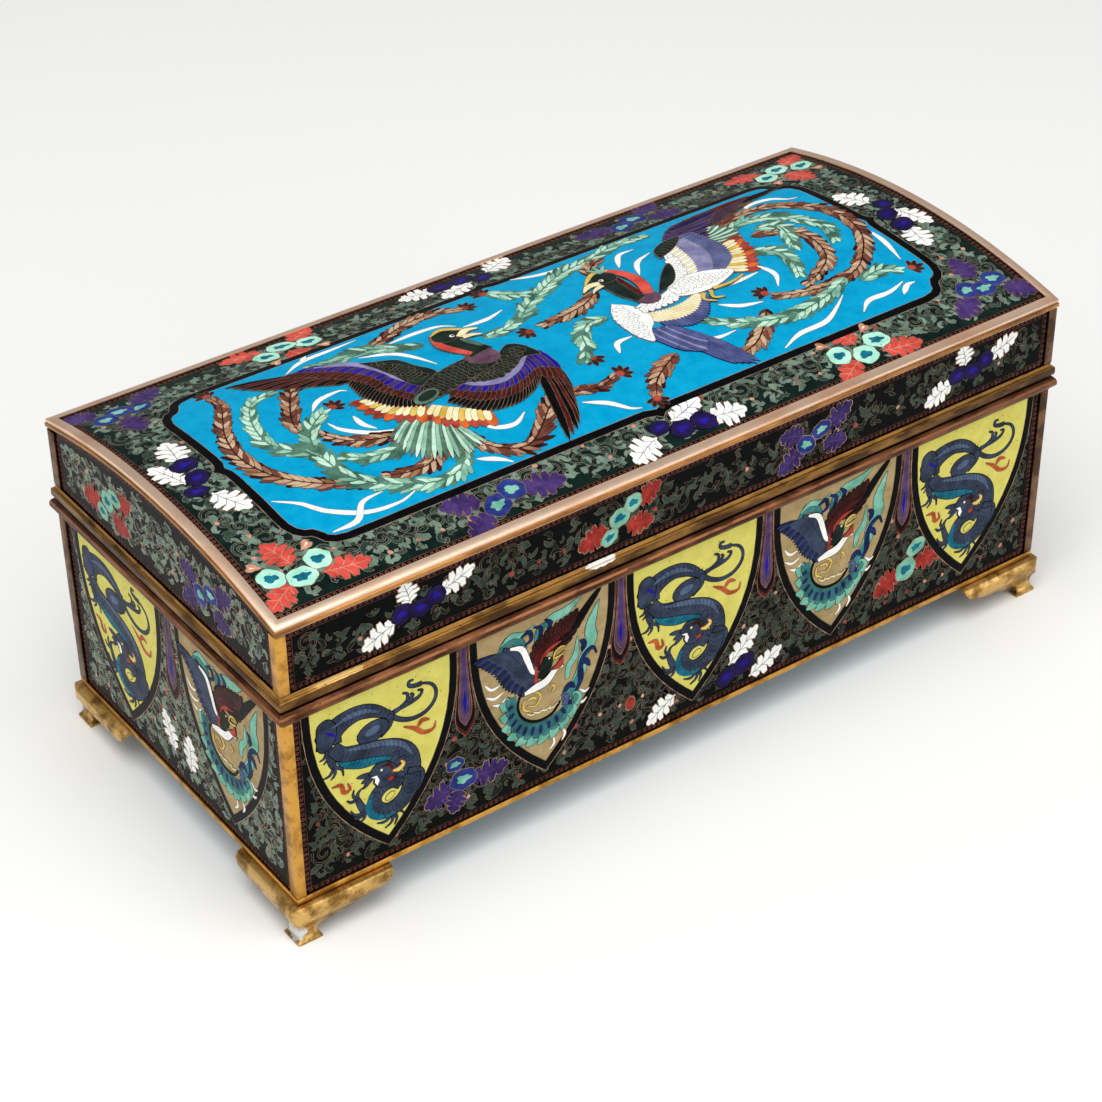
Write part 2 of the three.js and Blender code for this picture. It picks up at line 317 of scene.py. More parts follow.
LONG_HALF, END_HALF = HALF_LENGTH - CORNER_LONG, HALF_WIDTH - CORNER_END
LONG_CENTRES = [-105.6, -52.8, 0.0, 52.8, 105.6]
END_CENTRES = [-29.0, 28.0]
TOP_HALF = ARC_HALF - EDGING
top_wall = Wall("lid_top", on_top, HALF_LENGTH - EDGING, -TOP_HALF, TOP_HALF, True)
lid_walls = [
    Wall("lid_walls", face, half, LID_FOOT, LID_TOP, True, (), arched)
    for face, half, arched in (
        (on_front, LONG_HALF, False), (on_back, LONG_HALF, False),
        (on_left, END_HALF, True), (on_right, END_HALF, True),
    )
]
body_walls = [
    Wall("body_walls", face, half, BODY_FOOT, BODY_TOP, False, centres)
    for face, half, centres in (
        (on_front, LONG_HALF, LONG_CENTRES), (on_back, LONG_HALF, LONG_CENTRES),
        (on_left, END_HALF, END_CENTRES), (on_right, END_HALF, END_CENTRES),
    )
]
all_walls = [top_wall] + lid_walls + body_walls
print(len(all_walls), "walls,", sum(len(wall.centres) for wall in all_walls), "places for shields")

# %% Ground plates
GROUND_LIFT = 0.02
ARC_POINTS = 41


def rectangle(half, low, high):
    return np.array([(-half, low), (half, low), (half, high), (-half, high)], float)


def end_wall_outline():
    """The end of the lid: square below, with the arc of the dome on top."""
    y = np.linspace(HALF_WIDTH, -HALF_WIDTH, ARC_POINTS)
    arc = np.stack([y, dome(y)], axis=-1)
    return np.vstack([[(-HALF_WIDTH, LID[0].z), (HALF_WIDTH, LID[0].z)], arc])


gather("lid_top", "deep_ground", on_top, rectangle(HALF_LENGTH, -ARC_HALF, ARC_HALF), GROUND_LIFT)
for face in (on_front, on_back):
    gather("lid_walls", "ground", face, rectangle(HALF_LENGTH, LID[0].z, DOME_EDGE), GROUND_LIFT)
    gather("body_walls", "ground", face, rectangle(HALF_LENGTH, BODY[0].z, BODY[1].z), GROUND_LIFT)
for face in (on_left, on_right):
    gather("lid_walls", "ground", face, end_wall_outline(), GROUND_LIFT)
    gather("body_walls", "ground", face, rectangle(HALF_WIDTH, BODY[0].z, BODY[1].z), GROUND_LIFT)
report("ground")

# %% Pictures, under which no scroll is laid
SHIELD_TOP, SHIELD_TIP = BODY_TOP, 18.6
SHIELD_POWER = 2.5  # how late the sides turn in to the tip
SHIELD_HALF = 24.6  # over the outer wire, at the top
SHIELD_MARGIN = 0.6  # what is this far inside a shield is hidden
HIDDEN_ACROSS, HIDDEN_UP = 113, 42  # half of what the turquoise panel surely hides


def in_shield(wall, points):
    """True where the points lie wholly under one shield."""
    x, z = points[:, 0], points[:, 1]
    t = np.clip((SHIELD_TOP - z) / (SHIELD_TOP - SHIELD_TIP), 0, 1)
    half = SHIELD_HALF * (1 - t ** SHIELD_POWER) - SHIELD_MARGIN
    return any(bool(np.all(np.abs(x - centre) < half)) for centre in wall.centres)


def in_panel(points):
    """True where the points lie wholly under the turquoise panel."""
    x, y = np.abs(points[:, 0]), np.abs(points[:, 1])
    return bool(np.all((x < HIDDEN_ACROSS) & (y < HIDDEN_UP)))


# %% Leaves of the scroll
SCROLL_PITCH = 8.0
SCROLL_LIFT = 0.03
SPIRAL = np.linspace(0.8, 3.5 * math.pi, 19)  # angles of the points of a stem
SPIRAL_EYE, SPIRAL_REACH = 0.4, 2.9  # radius in the middle, and what is added up to the end
STEM_WIRE, STEM_GLASS = 0.4, 0.27  # half widths of a stem
LEAF_WIRE = 0.11
# The dim tones are darker copies of the bright ones, painted shade for the front and back. The bright pale
# wire is brass paled by a painted reflection.
SCROLL_TONES = {
    "bright": ("pale_wire", "leaf", "deep_leaf"),
    "dim": ("dim_wire", "wall_leaf", "wall_deep"),
}


def curled_leaf(length, width):
    path = np.array([(0, 0), (0.5, 0), (0.92, 0.24), (0.9, 0.6), (0.62, 0.66)]) * length
    outline = ribbon(path, np.array([0.15, 0.8, 1.1, 0.8, 0.25]) * width, 6)
    return np.vstack([path[0], outline[1:5], path[-1], outline[7:11]])


LEAF_SHAPES = [curled_leaf(3.5, 1.35), curled_leaf(2.8, 1.2), curled_leaf(3.2, 1.6)]


def clear(wall, outline, margin):
    """True where an outline crosses no brass, no panel and no shield."""
    blocked = (wall is top_wall and in_panel(outline)) or in_shield(wall, outline)
    return wall.inside(outline, margin) and not blocked


def scroll_cell(wall, tone, outline, wire, lift):
    """One tiny cell of the scroll with its wire."""
    part = wall.part.split("_")[0] + "_scroll"
    line = SCROLL_TONES[wall.tone][0]
    gather(part, line, wall.face, grown(outline, wire), SCROLL_LIFT + lift)
    gather(part, tone, wall.face, outline, SCROLL_LIFT + lift + 0.006)


# %% One spiral of the scroll
def scroll(wall, centre, turn, flip, size):
    """A coiled stem with leaves to both sides, laid from the end inward."""
    radius = size * (SPIRAL_EYE + SPIRAL_REACH * SPIRAL / SPIRAL[-1])
    coil = np.stack([radius * np.cos(SPIRAL), flip * radius * np.sin(SPIRAL)], axis=-1)
    stem = turned(coil, turn) + centre
    heading = np.gradient(stem, axis=0)
    heading /= np.linalg.norm(heading, axis=1, keepdims=True)
    side = sideways(heading)
    part = wall.part.split("_")[0] + "_scroll"
    line, bright, deep = SCROLL_TONES[wall.tone]
    outline = np.vstack([stem - STEM_WIRE * side, (stem + STEM_WIRE * side)[::-1]])
    if clear(wall, outline, 0.1):
        glass = np.vstack([stem - STEM_GLASS * side, (stem + STEM_GLASS * side)[::-1]])
        gather(part, line, wall.face, outline, SCROLL_LIFT)
        gather(part, deep, wall.face, glass, SCROLL_LIFT + 0.003)
    for k in range(18, 5, -2):
        lean = math.degrees(math.atan2(heading[k][1], heading[k][0]))
        shape = LEAF_SHAPES[random.randrange(3)] * (0.8 + 0.4 * random.random()) * (0.6 + 0.4 * k / 18)
        shape = shape * (1, -flip) if k % 4 else shape * (1, flip)
        leaf = turned(shape, lean - flip * (35 + 35 * random.random())) + stem[k]
        tone = bright if random.random() < 0.6 else deep
        if clear(wall, leaf, 0.2):
            scroll_cell(wall, tone, leaf, LEAF_WIRE, 0.006 + 0.001 * k)


def filler(wall, centre):
    """Between the spirals: a few leaves round a bud."""
    _, bright, deep = SCROLL_TONES[wall.tone]
    start = 360 * random.random()
    for k in range(3):
        shape = LEAF_SHAPES[k] * (0.7 + 0.3 * random.random())
        leaf = turned(shape + (0.7, 0), start + 120 * k + 40 * random.random()) + centre
        if clear(wall, leaf, 0.2):
            scroll_cell(wall, bright if k else deep, leaf, LEAF_WIRE, 0.026 + 0.001 * k)
    bud = disc(centre, 0.6 + 0.3 * random.random(), 7, 0.8, 360 * random.random())
    if random.random() < 0.5 and clear(wall, bud, 0.3):
        scroll_cell(wall, "bud" if random.random() < 0.7 else "rust", bud, LEAF_WIRE, 0.036)


# %% The scroll all over the box
def scatter(wall):
    """A loose grid of spirals, with every other row half a step aside."""
    columns = max(2, round(2 * wall.half / SCROLL_PITCH))
    crown = float(wall.top(np.float64(0)))
    rows = max(2, round((crown - wall.low) / SCROLL_PITCH))
    for i in range(columns):
        for j in range(rows):
            x = -wall.half + (i + 0.5 * (j % 2) + 0.25) * 2 * wall.half / columns
            y = wall.low + (j + 0.5) * (crown - wall.low) / rows
            jitter = (1.6 * (random.random() - 0.5), 1.6 * (random.random() - 0.5))
            place = np.array([x + jitter[0], y + jitter[1]])
            turn, flip = 360 * random.random(), random.choice((-1, 1))
            scroll(wall, place, turn, flip, 0.9 + 0.35 * random.random())
            filler(wall, place + (0.5 * SCROLL_PITCH, 0.4 * SCROLL_PITCH))


for wall in all_walls:
    scatter(wall)
report("scrolls")

# %% [markdown]
# ## The bands of loops
# A narrow dark band follows the brass on every face, with a chain of tiny copper-red loops in
# it. The loop repeats about two thousand times, so it is only a six-sided ring.

# %% Bands
LOOP_PITCH = 1.75
LOOP_WIRE, LOOP_GLASS = 0.62, 0.38  # radii of a loop
BAND_LIFT = 0.05
LINE_PLACE, LINE_HALF = 0.93, 0.07  # the thin line that closes the band on the inside


def strip(start, end, near, far):
    """A rectangle along a line, from one distance to its left to another."""
    return np.array([start + near, end + near, end + far, start + far])


def run_of_loops(wall, start, end):
    start, end = np.array(start, float), np.array(end, float)
    length = np.linalg.norm(end - start)
    heading = (end - start) / length
    side = np.array([-heading[1], heading[0]])
    gather(wall.part, "black", wall.face, strip(start, end, -side, side), BAND_LIFT)
    count = round(length / LOOP_PITCH)
    # Off the top the loops take a dim copy of the loop wire, as painted shade on the upright faces.
    loop = "loop_wire" if wall is top_wall else "dim_loop_wire"
    for k in range(count):
        centre = start + heading * (k + 0.5) * length / count
        ring = disc(centre, LOOP_WIRE, 6, 1, 60 * random.random())
        gather(wall.part, loop, wall.face, ring, BAND_LIFT + 0.008)
        gather(wall.part, "band", wall.face, disc(centre, LOOP_GLASS, 6), BAND_LIFT + 0.014)
    line = strip(start, end, side * (LINE_PLACE - LINE_HALF), side * (LINE_PLACE + LINE_HALF))
    gather(wall.part, loop, wall.face, line, BAND_LIFT + 0.011)


def band(wall):
    inset = BAND / 2
    x, low, high = wall.half - inset, wall.low + inset, wall.high - inset
    top = high if wall.banded else wall.high
    run_of_loops(wall, (-x, low), (x, low))
    run_of_loops(wall, (x, low), (x, top))
    run_of_loops(wall, (-x, top), (-x, low))
    if wall.banded and not wall.arched:
        run_of_loops(wall, (x, high), (-x, high))
    if wall.arched:
        ends = np.linspace(x, -x, 13)
        for a, b in zip(ends, ends[1:]):
            run_of_loops(wall, (a, wall.top(a) - inset), (b, wall.top(b) - inset))


for wall in all_walls:
    band(wall)
print(sum(len(v) for (part, colour), v in store.items() if colour == "band"), "loops")

# %% [markdown]
# ## Bouquets of lobed leaves
# Over the scrolls lie small bouquets in three colourings: red leaves with mint flowers, purple
# leaves with blue ones, and white leaves with violet ones. Each kind is laid out once, round its
# own middle, and then turned and placed. The red, the mint and the purple on the walls are deeper:
# darker copies of the lid's colours, painted shade for the upright faces.

# %% Plans of the bouquets
# A leaf is its root, heading, length and width; a flower its place and radius; a bud its place
# and heading.
MOTIF_LIFT = 0.1
BOUQUETS = {
    "red": {
        "leaves": [(0, 2.4, 100, 11, 8.6), (-3.4, -3.4, 204, 11.5, 7.6), (5.4, -3.6, 346, 13.5, 7.8)],
        "flowers": [(-7.4, 0.8, 3.8), (0, -2.4, 4.0), (6.9, 1.2, 3.8)],
        "buds": [(-8.6, 6, 150), (6, 6.6, 30)],
    },
    "purple": {
        "leaves": [(-6.4, 2, 160, 12, 8.5), (-6.6, -3, 206, 11.5, 8), (5.4, 0.8, 345, 13.5, 9)],
        "flowers": [(-3.4, -1.2, 4.2), (3.2, 2, 4.0)],
    },
    "white": {
        "leaves": [(-7, -1, 200, 12.5, 9), (0.6, 2.4, 12, 13.5, 8), (11, -1.4, 345, 12, 9)],
        "flowers": [(-4, 1.8, 3.0), (1.6, -1.6, 3.6), (9, -1.8, 3.8)],
    },
    "purple corner": {
        "leaves": [(0, 4, 80, 11, 8), (-5, -3, 200, 12, 8), (5.6, -3, 320, 11, 8.5)],
        "flowers": [(-5.4, 0.8, 3.6), (0, -1, 3.8), (5.4, 1.4, 3.6)],
    },
    "low red": {
        "leaves": [(-4, -1, 192, 11, 8), (6.4, 3.4, 22, 9.5, 7), (2.6, -2.4, 342, 10, 7.4)],
        "flowers": [(-3.4, -4.4, 2.9), (0.2, 1, 3.5), (5, 4.4, 3.1)],
    },
    "low purple": {
        "leaves": [(-3, -2, 205, 12, 8), (-4, 2, 158, 9.5, 7.5), (4, 1.6, 22, 12, 8),
                   (4, -3, 338, 9.5, 7.5)],
        "flowers": [(-2.8, -1.4, 3.5), (3, 1.8, 3.3)],
    },
    "low white": {
        "leaves": [(-7, -2, 196, 12, 7.6), (-2, 2.6, 100, 7.6, 7), (7.6, 2, 14, 12.5, 7)],
        "flowers": [(-5, 0, 3.4), (1.2, -0.4, 3.5), (6.4, 1.6, 3.2)],
    },
    "drop purple": {
        "leaves": [(-2, -1, 190, 11.5, 8.5), (2, -1, 352, 13, 8), (-1, -3, 240, 8, 7)],
        "flowers": [(-2.6, 6.4, 2.7), (0, 0, 4.1)],
    },
    "drop red": {
        "leaves": [(-2, -1, 200, 10.5, 8), (3, 0, 356, 11, 7)],
        "flowers": [(3.4, 5.4, 3.1), (0, -1, 3.8)],
    },
}
LID_COLOURS = {
    "red": ("red", "pale_mint", "teal", "bud"),
    "purple": ("purple", "blue", "mint", "lilac"),
    "white": ("white", "plum", "violet", "grey"),
}
# The lid colourings with deeper red, mint and purple, and a deeper vein for the red, as painted shade for
# the upright faces.
WALL_COLOURS = {
    "red": ("wall_red", "wall_mint", "teal", "rust"),
    "purple": ("wall_purple", "blue", "mint", "lilac"),
    "white": ("white", "plum", "violet", "grey"),
}
print(len(BOUQUETS), "bouquets planned")


# %% One leaf and one flower
def lobed_leaf(drawing, colour, x, y, heading, length, width, vein):
    """A lobed leaf with a midrib and six veins, which are drawn as fine glass lines."""
    drawing.cell(colour, turned(lobed(length, width), heading) + (x, y), 0.2)
    rib_line = [(0.5, 0), (0.45 * length, 0.02 * length), (0.92 * length, 0.085 * length)]
    drawing.stroke(vein, turned(rib_line, heading) + (x, y), [0.16, 0.34, 0.14], 6, 0, rise=0)
    for t, hand in ((0.1, 1), (0.16, -1), (0.34, 1), (0.38, -1), (0.56, 1), (0.6, -1)):
        bend = 0.1 * t * t * length
        steps = ((0, 0), (0.1, 0.14), (0.16, 0.32))
        twig = [((t + along) * length, hand * out * width + bend) for along, out in steps]
        drawing.stroke(vein, turned(twig, heading) + (x, y), [0.24, 0.14], 3, 0, rise=0)
    drawing.lift += 2 * LAYER


def flower(drawing, x, y, radius, rim, heart):
    """A bean-shaped flower with a waved edge and a blot of darker glass in it."""
    phase = 6 * random.random()
    lean = 50 * random.random() - 25
    angle = np.linspace(0, 2 * math.pi, 26, endpoint=False)
    wave = 1.04 + 0.08 * np.cos(2 * angle + phase) + 0.05 * np.cos(5 * angle + 2 * phase)
    wave = radius * (wave + 0.03 * np.cos(8 * angle))
    ring = turned(np.stack([wave * np.cos(angle), 0.86 * wave * np.sin(angle)], axis=-1), lean)
    dark = rim == "plum"
    blot = (0.36 if dark else 0.46) + 0.07 * np.cos(5 * angle + phase) + 0.06 * np.cos(3 * angle)
    drawing.edge = "black" if dark else "wire"
    drawing.cell(rim, ring + (x, y), 0.2)
    drawing.edge = "wire"
    drawing.cell(heart, ring * blot[:, None] * (1.15, 0.85) + (x, y), 0)
    drawing.lift += LAYER


# %% Bouquets on the lid and on the body
TRUMPET = [(-1.4, 0), (0.3, 0.8), (1.6, 1.6), (2.8, 1.1), (2.4, 0), (2.7, -1.0), (1.4, -1.5), (0.2, -0.9)]
THROAT = [(0.2, 0), (1.9, 0.5), (1.9, -0.3)]


def bouquet(kind, part, face, x, y, turn=0.0, size=1.0):
    plan = BOUQUETS[kind]
    colours = LID_COLOURS if face is on_top else WALL_COLOURS
    leaf, rim, heart, vein = colours[next(name for name in colours if name in kind)]
    drawing = Drawing(part, face, MOTIF_LIFT)

    def place(across, up):
        return turned([(across * size, up * size)], turn)[0] + (x, y)

    for across, up, heading, length, width in plan["leaves"]:
        lobed_leaf(drawing, leaf, *place(across, up), heading + turn, length * size, width * size, vein)
    for across, up, heading in plan.get("buds", ()):
        trumpet = spline(turned(TRUMPET, heading + turn) * size, 2)
        drawing.cell("bud", trumpet + place(across, up), 0.18)
        drawing.cell("cream", turned(THROAT, heading + turn) * size + place(across, up), 0)
    for across, up, radius in plan["flowers"]:
        flower(drawing, *place(across, up), radius * size, rim, heart)


for kind, x, y, turn in [
    ("red", -119.5, -46.5, 0), ("purple", -57, -50.6, 0), ("white", 0, -50.4, 0), ("red", 68, -50.2, 0),
    ("purple corner", 119.5, -45.6, 0), ("white", -123, -1, 90), ("white", 123, 1, 270),
    ("purple corner", -119, 48, 180), ("red", -64, 50.6, 180), ("white", 1, 51.6, 180),
    ("purple", 60, 51, 180), ("red", 119, 47, 180),
]:
    bouquet(kind, "lid_top", on_top, x, y, turn)
LID_MIDDLE = (LID_FOOT + LID_TOP) / 2
for face in (on_front, on_back):
    for kind, x in [("low white", -93), ("low red", -27), ("low purple", 42), ("low white", 102)]:
        bouquet(kind, "lid_walls", face, x, LID_MIDDLE, 0, 0.95)
for face in (on_left, on_right):
    bouquet("low red", "lid_walls", face, -29, LID_MIDDLE + 1, 0, 0.95)
    bouquet("low purple", "lid_walls", face, 24, LID_MIDDLE + 1, 0, 0.95)
for face in (on_front, on_back):
    bouquet("drop purple", "body_walls", face, -80.5, 29.5)
    bouquet("drop red", "body_walls", face, 82, 31.5, 0, 1.08)
    sprig = Drawing("body_walls", face, MOTIF_LIFT)
    for x, y, heading, length in ((-6.4, 24, 206, 12), (13.4, 25.6, 38, 14.5), (21.4, 17.8, 20, 13.5)):
        lobed_leaf(sprig, "white", x, y, heading, length, 7, "grey")
    flower(sprig, 19, 23.6, 3.9, "plum", "violet")
    flower(sprig, 12.6, 21.6, 3.6, "plum", "violet")
    sprig.cell("rust", disc((-22.8, 28.6), 1.7, 12, 1.4), 0.2)
for face in (on_left, on_right):
    sprig = Drawing("body_walls", face, MOTIF_LIFT)
    for x, y, heading in ((-4, 24, 104), (4.6, 22, 80)):
        lobed_leaf(sprig, "white", x, y, heading, 13, 7.6, "grey")
report("bouquets")

# %% [markdown]
# ## Shields and lappets
# Fourteen shields hang round the body, yellow with a dragon and tan with a phoenix in turn. The
# outline is one formula: straight down at the top, then closing faster and faster to a point.
# Between them hang lappets, long drops of mauve with a violet core.

# %% Shield outlines
SHIELD_LIFT = 0.13


def shield_outline(centre, inset, tip_rise):
    """Down the right side and up the left, with more points near the tip."""
    t = np.sin(np.linspace(0, math.pi / 2, 16)) ** 0.9
    z = SHIELD_TOP - t * (SHIELD_TOP - SHIELD_TIP - tip_rise)
    half = (SHIELD_HALF - inset) * (1 - t ** SHIELD_POWER)
    right = np.stack([centre + half, z], axis=-1)
    left = np.stack([centre - half, z], axis=-1)
    return np.vstack([right, left[-2::-1]])


def shield(wall, centre, colour):
    """Wire, dark ground, black border, inner wire and field, each laid on the one before."""
    for shade, inset, rise, lift in (
        ("wire", 0.0, 0.0, 0), ("ground", 0.2, 0.3, 1), ("black", 0.9, 1.3, 3),
        ("dim_wire", 2.5, 3.6, 4), (colour, 2.65, 3.85, 5),
    ):
        outline = shield_outline(centre, inset, rise)
        gather(wall.part, shade, wall.face, outline, SHIELD_LIFT + 0.006 * lift)


# One side of a drop of unit size: how far out and how far down, from the top to the tip.
DROP_SIDE = np.array([(0.4, 0), (0.55, 0.3), (0.85, 0.62), (1, 0.78), (0.8, 0.9), (0.3, 0.97), (0, 1)])
DROP = np.vstack([DROP_SIDE * (-1, -1), DROP_SIDE[-2::-1] * (1, -1)])


def lappet(wall, centre):
    """Four drops, one in another, round a violet core."""
    drawing = Drawing(wall.part, wall.face, SHIELD_LIFT + 0.05)
    for colour, half, length, edge in (
        ("band", 3.3, 30.5, "copper_wire"), ("black", 2.9, 29, "black"),
        ("mauve", 2.2, 27, "copper_wire"), ("lilac", 1.4, 24.6, "dim_wire"),
    ):
        drawing.edge = edge
        drawing.cell(colour, spline(DROP * (half, length) + (centre, BODY_TOP), 3), 0.15)
    core = [(centre, BODY_TOP - depth) for depth in (14.5, 19, 23.4)]
    drawing.stroke("violet", core, [0.2, 1.5, 0.2], 12, 0.12)


for wall in body_walls:
    for k, centre in enumerate(wall.centres):
        shield(wall, centre, "yellow" if k % 2 == 0 else "tan")
    for a, b in zip(wall.centres, wall.centres[1:]):
        lappet(wall, (a + b) / 2)
report("shields and lappets")

# %% [markdown]
# ## The dragon
# A plain old-fashioned dragon: a long body drawn as ribbons that swell and taper, a teal belly
# with ribs, clawed legs, a tail that ends in curls and small flames. Each ribbon follows a curve
# through a few given points, measured from the middle line of its shield.

# %% Ribs and claws
def ribs(drawing, points, width, spacing, colour="wire"):
    """Short curved wires across a body, as scales or belly plates."""
    path, _, length = resampled(spline(points), 40)
    path, heading, _ = resampled(path, max(3, round(length / spacing)))
    for place, ahead, side in zip(path, heading * width, sideways(heading) * width / 2):
        arc = [place - side - 0.15 * ahead, place + 0.12 * ahead, place + side - 0.15 * ahead]
        drawing.stroke(colour, arc, [0.14, 0.14], 5, 0, rise=0)
    drawing.lift += LAYER


def claw(drawing, colour, wrist, tips):
    """Hooked talons from a wrist to each of the tips."""
    wrist = np.array(wrist, float)
    for tip in np.array(tips, float):
        across = tip - wrist
        bend = wrist + across * 0.55 + np.array([-across[1], across[0]]) * 0.22
        drawing.stroke(colour, [wrist, bend, tip], [1.0, 0.85, 0.25], 7, 0.14)


# %% Dragon
FIGURE_LIFT = SHIELD_LIFT + 0.06


def dragon_flames(pen):
    for points in (
        [(-17.5, 47.3), (-14.6, 46.8), (-13.8, 43.8), (-11.8, 44), (-12.4, 46.4)],
        [(7, 57.2), (10.6, 54.9), (13.4, 52.2), (16.8, 52), (17.6, 54.4)],
        [(11.4, 54.6), (13, 56.6), (15.6, 55.8)],
    ):
        pen.stroke("flame", points, [0.3, 1.3, 1.5, 1.1, 0.3], 14, 0.16)


def dragon_tail(pen):
    pen.edge = "black"
    for points in (
        [(2.6, 63.2), (5.8, 60.4), (10, 58.7), (14.4, 59.1), (17.5, 61.6), (18.2, 64.9), (16.6, 67.9),
         (13.3, 69.4), (10.8, 69.8)],
        [(3.6, 63.6), (6.7, 64.4), (8.6, 66), (8.6, 68), (7.2, 68.8)],
        [(6.4, 64.3), (10, 64.6), (12.6, 65.4), (13.6, 67), (12.2, 67.6)],
        [(13.4, 69.4), (11.2, 69.6), (9.4, 70.4), (9.4, 71.8), (10.8, 71.8)],
        [(9, 65), (10.4, 66.6), (9.8, 67.6)],
    ):
        pen.stroke("slate", points, [1.5, 1.3, 1.1, 0.8, 0.4], 24, 0.18)


def dragon_back(pen):
    """The hind leg, the arch of the back with the haunch, and the root of the tail."""
    pen.stroke("slate", [(-16.4, 61), (-17.2, 56.6), (-16, 53)], [3.6, 2.4, 1.4], 10, 0.2)
    claw(pen, "slate", (-16.4, 54), [(-20.2, 51.6), (-17.6, 50.2), (-13.6, 49.8)])
    claw(pen, "slate", (-18.4, 60.4), [(-20.8, 58.2), (-19.6, 56.6)])
    arch = [(-17.6, 62), (-17, 65.4), (-13, 68), (-7.5, 68.8), (-2.6, 67.2), (0.8, 64.8), (3.4, 63)]
    pen.stroke("slate", arch, [8, 7.4, 6, 4.8, 4.2, 3, 1.6], 24, 0.26)
    pen.cell("slate", spline([(-21.4, 66), (-20.6, 70), (-17.4, 71), (-15, 68), (-15.6, 63), (-18.8, 60.6),
                              (-21, 62), (-21.4, 66)], 4), 0.3)
    pen.stroke("slate_light", [(-16, 67.6), (-11, 68.9), (-5.6, 68.5), (-1, 66.2)], [0.4, 1.6, 1.5, 0.4],
               14, 0)
    ribs(pen, arch[2:], 4, 1.5, "black")
    pen.stroke("violet", [(-18.4, 67), (-16.6, 65.6), (-14.8, 64)], [0.4, 1.2, 0.3], 8, 0)
    pen.stroke("slate", [(3, 63.4), (1.6, 60.8), (-1.4, 58.4)], [1.8, 3.6, 3], 10, 0.26)
    pen.cell("slate", disc((-3.2, 60.4), 5.2, 16, 0.66, 6), 0.26)
    pen.cell("slate_light", disc((-3.2, 60.6), 2.6, 12, 0.5, 10), 0)


def dragon_belly(pen):
    """The long middle of the body, with the belly plates under it."""
    main = [(-16.4, 60.6), (-13.4, 57.2), (-8.3, 55.6), (-1.7, 53.8), (4.2, 51.2), (7.8, 47.6), (9, 43.4),
            (8.8, 39.8), (6.6, 36.6)]
    belly = [(-15.6, 58.6), (-13, 54.6), (-7, 51.7), (-0.5, 50.6), (4.4, 47.6)]
    pen.stroke("teal", belly, [1.4, 4, 4.4, 4, 1.4], 20, 0.24)
    ribs(pen, belly, 3.6, 1.3, "black")
    pen.stroke("slate", main, [4, 4.6, 4.8, 5.2, 5.4, 5.6, 5.6, 5.2], 32, 0.26)
    pen.stroke("slate_light", [(-12, 57.9), (-7, 56.6), (0, 54.8), (6, 51.6), (9.4, 46.4)],
               [0.4, 1.6, 1.8, 1.8, 0.4], 20, 0)
    ribs(pen, main[1:], 4.4, 1.5, "black")


def dragon_coil(pen):
    """The front legs and the neck, which is coiled in a ring."""
    pen.stroke("slate", [(-7, 33), (-8.6, 36.4), (-9.8, 39.8)], [2.4, 2, 1.4], 9, 0.2)
    claw(pen, "slate", (-9.6, 39.4), [(-13, 40.4), (-10.6, 43), (-7.8, 42.4)])
    claw(pen, "slate", (-7.4, 33.4), [(-11.2, 33.2), (-12, 36.2), (-9.2, 30.8)])
    pen.stroke("slate", [(2.8, 31), (2, 28.4)], [3, 1.6], 4, 0.2)
    claw(pen, "slate", (2, 28.8), [(-3.6, 27.6), (-1, 24.6), (2.2, 24.4), (5.4, 27)])
    pen.cell("slate", spline([(8, 42), (12, 40.4), (13, 37), (10.6, 33), (7, 31.4), (6, 36), (8, 42)], 4),
             0.26)
    ring = [(9, 39.6), (7.6, 34.4), (4, 31.2), (-0.6, 30.6), (-3.8, 33.4), (-3.8, 37), (-1, 39.6),
            (2.6, 39.8), (5, 37.8)]
    pen.stroke("slate", ring, [5.4, 5.8, 5.6, 5.2, 4.8, 4.4, 4.2, 4, 3], 30, 0.26)
    pen.stroke("teal", [(2.6, 28.9), (-1.6, 28.8), (-5.4, 31.8), (-6, 36), (-4.6, 39)],
               [0.6, 1.7, 2.3, 2, 0.6], 16, 0)
    ribs(pen, ring, 4.2, 1.5, "black")
    pen.cell("yellow", disc((1.2, 35.3), 1.7, 12, 0.62, 28), 0.16)


def dragon_head(pen):
    """Whiskers, a mane, and a head with a horn."""
    for tip in ((-9.2, 47.4), (-8, 44.8), (-7.8, 42.6)):
        pen.cell("slate", blade((-3, 45.4), tip, 1.5, 0.6), 0.16)
    for tip in ((5, 49.6), (7, 46.6), (6.4, 43.4), (6, 40)):
        pen.cell("slate", blade((1.4, 44.4), tip, 2.6, 0.5, 0.6), 0.18)
    head = [(-5.4, 46), (-3, 48.4), (0.6, 48), (3.4, 45.4), (3.4, 41.8), (0.6, 39.8), (-2.4, 40.4),
            (-4, 42.6), (-3.2, 44.2), (-5.4, 46)]
    pen.cell("slate", spline(head, 4), 0.22)
    pen.cell("white", [(-4.8, 44.8), (-2.8, 44.6), (-2, 42.6), (-2.8, 41), (-3.6, 42.4), (-3.4, 43.8)], 0.1)
    pen.stroke("brown", [(-1, 47), (1.6, 46.6), (2.6, 44)], [0.6, 1.5, 0.6], 8, 0)
    pen.cell("rust", disc((1.8, 41.4), 1.1, 10, 0.7), 0.14)
    pen.edge = "rust"
    pen.stroke("yellow", [(2.6, 43.8), (4.6, 43.4), (6.2, 44.6), (5.4, 46)], [0.5, 1.4, 1.2, 0.4], 10, 0.25)
    pen.edge = "black"
    pen.cell("cream", disc((-1.2, 45.8), 0.45, 8), 0.1)


def dragon(wall, centre):
    pen = Drawing(wall.part, wall.face, FIGURE_LIFT, (centre, 0), (0.95, 0.97), (0, 50))
    for draw in (dragon_flames, dragon_tail, dragon_back, dragon_belly, dragon_coil, dragon_head):
        draw(pen)


# %% [markdown]
# ## The phoenix of the shields
# A phoenix in flight: two wings made of fans of feathers, a white breast, a golden beak,
# and a tail that curls under it with flames of mint and teal. Dark edges hold the small cells
# together, as the thickest wires do on the real box.

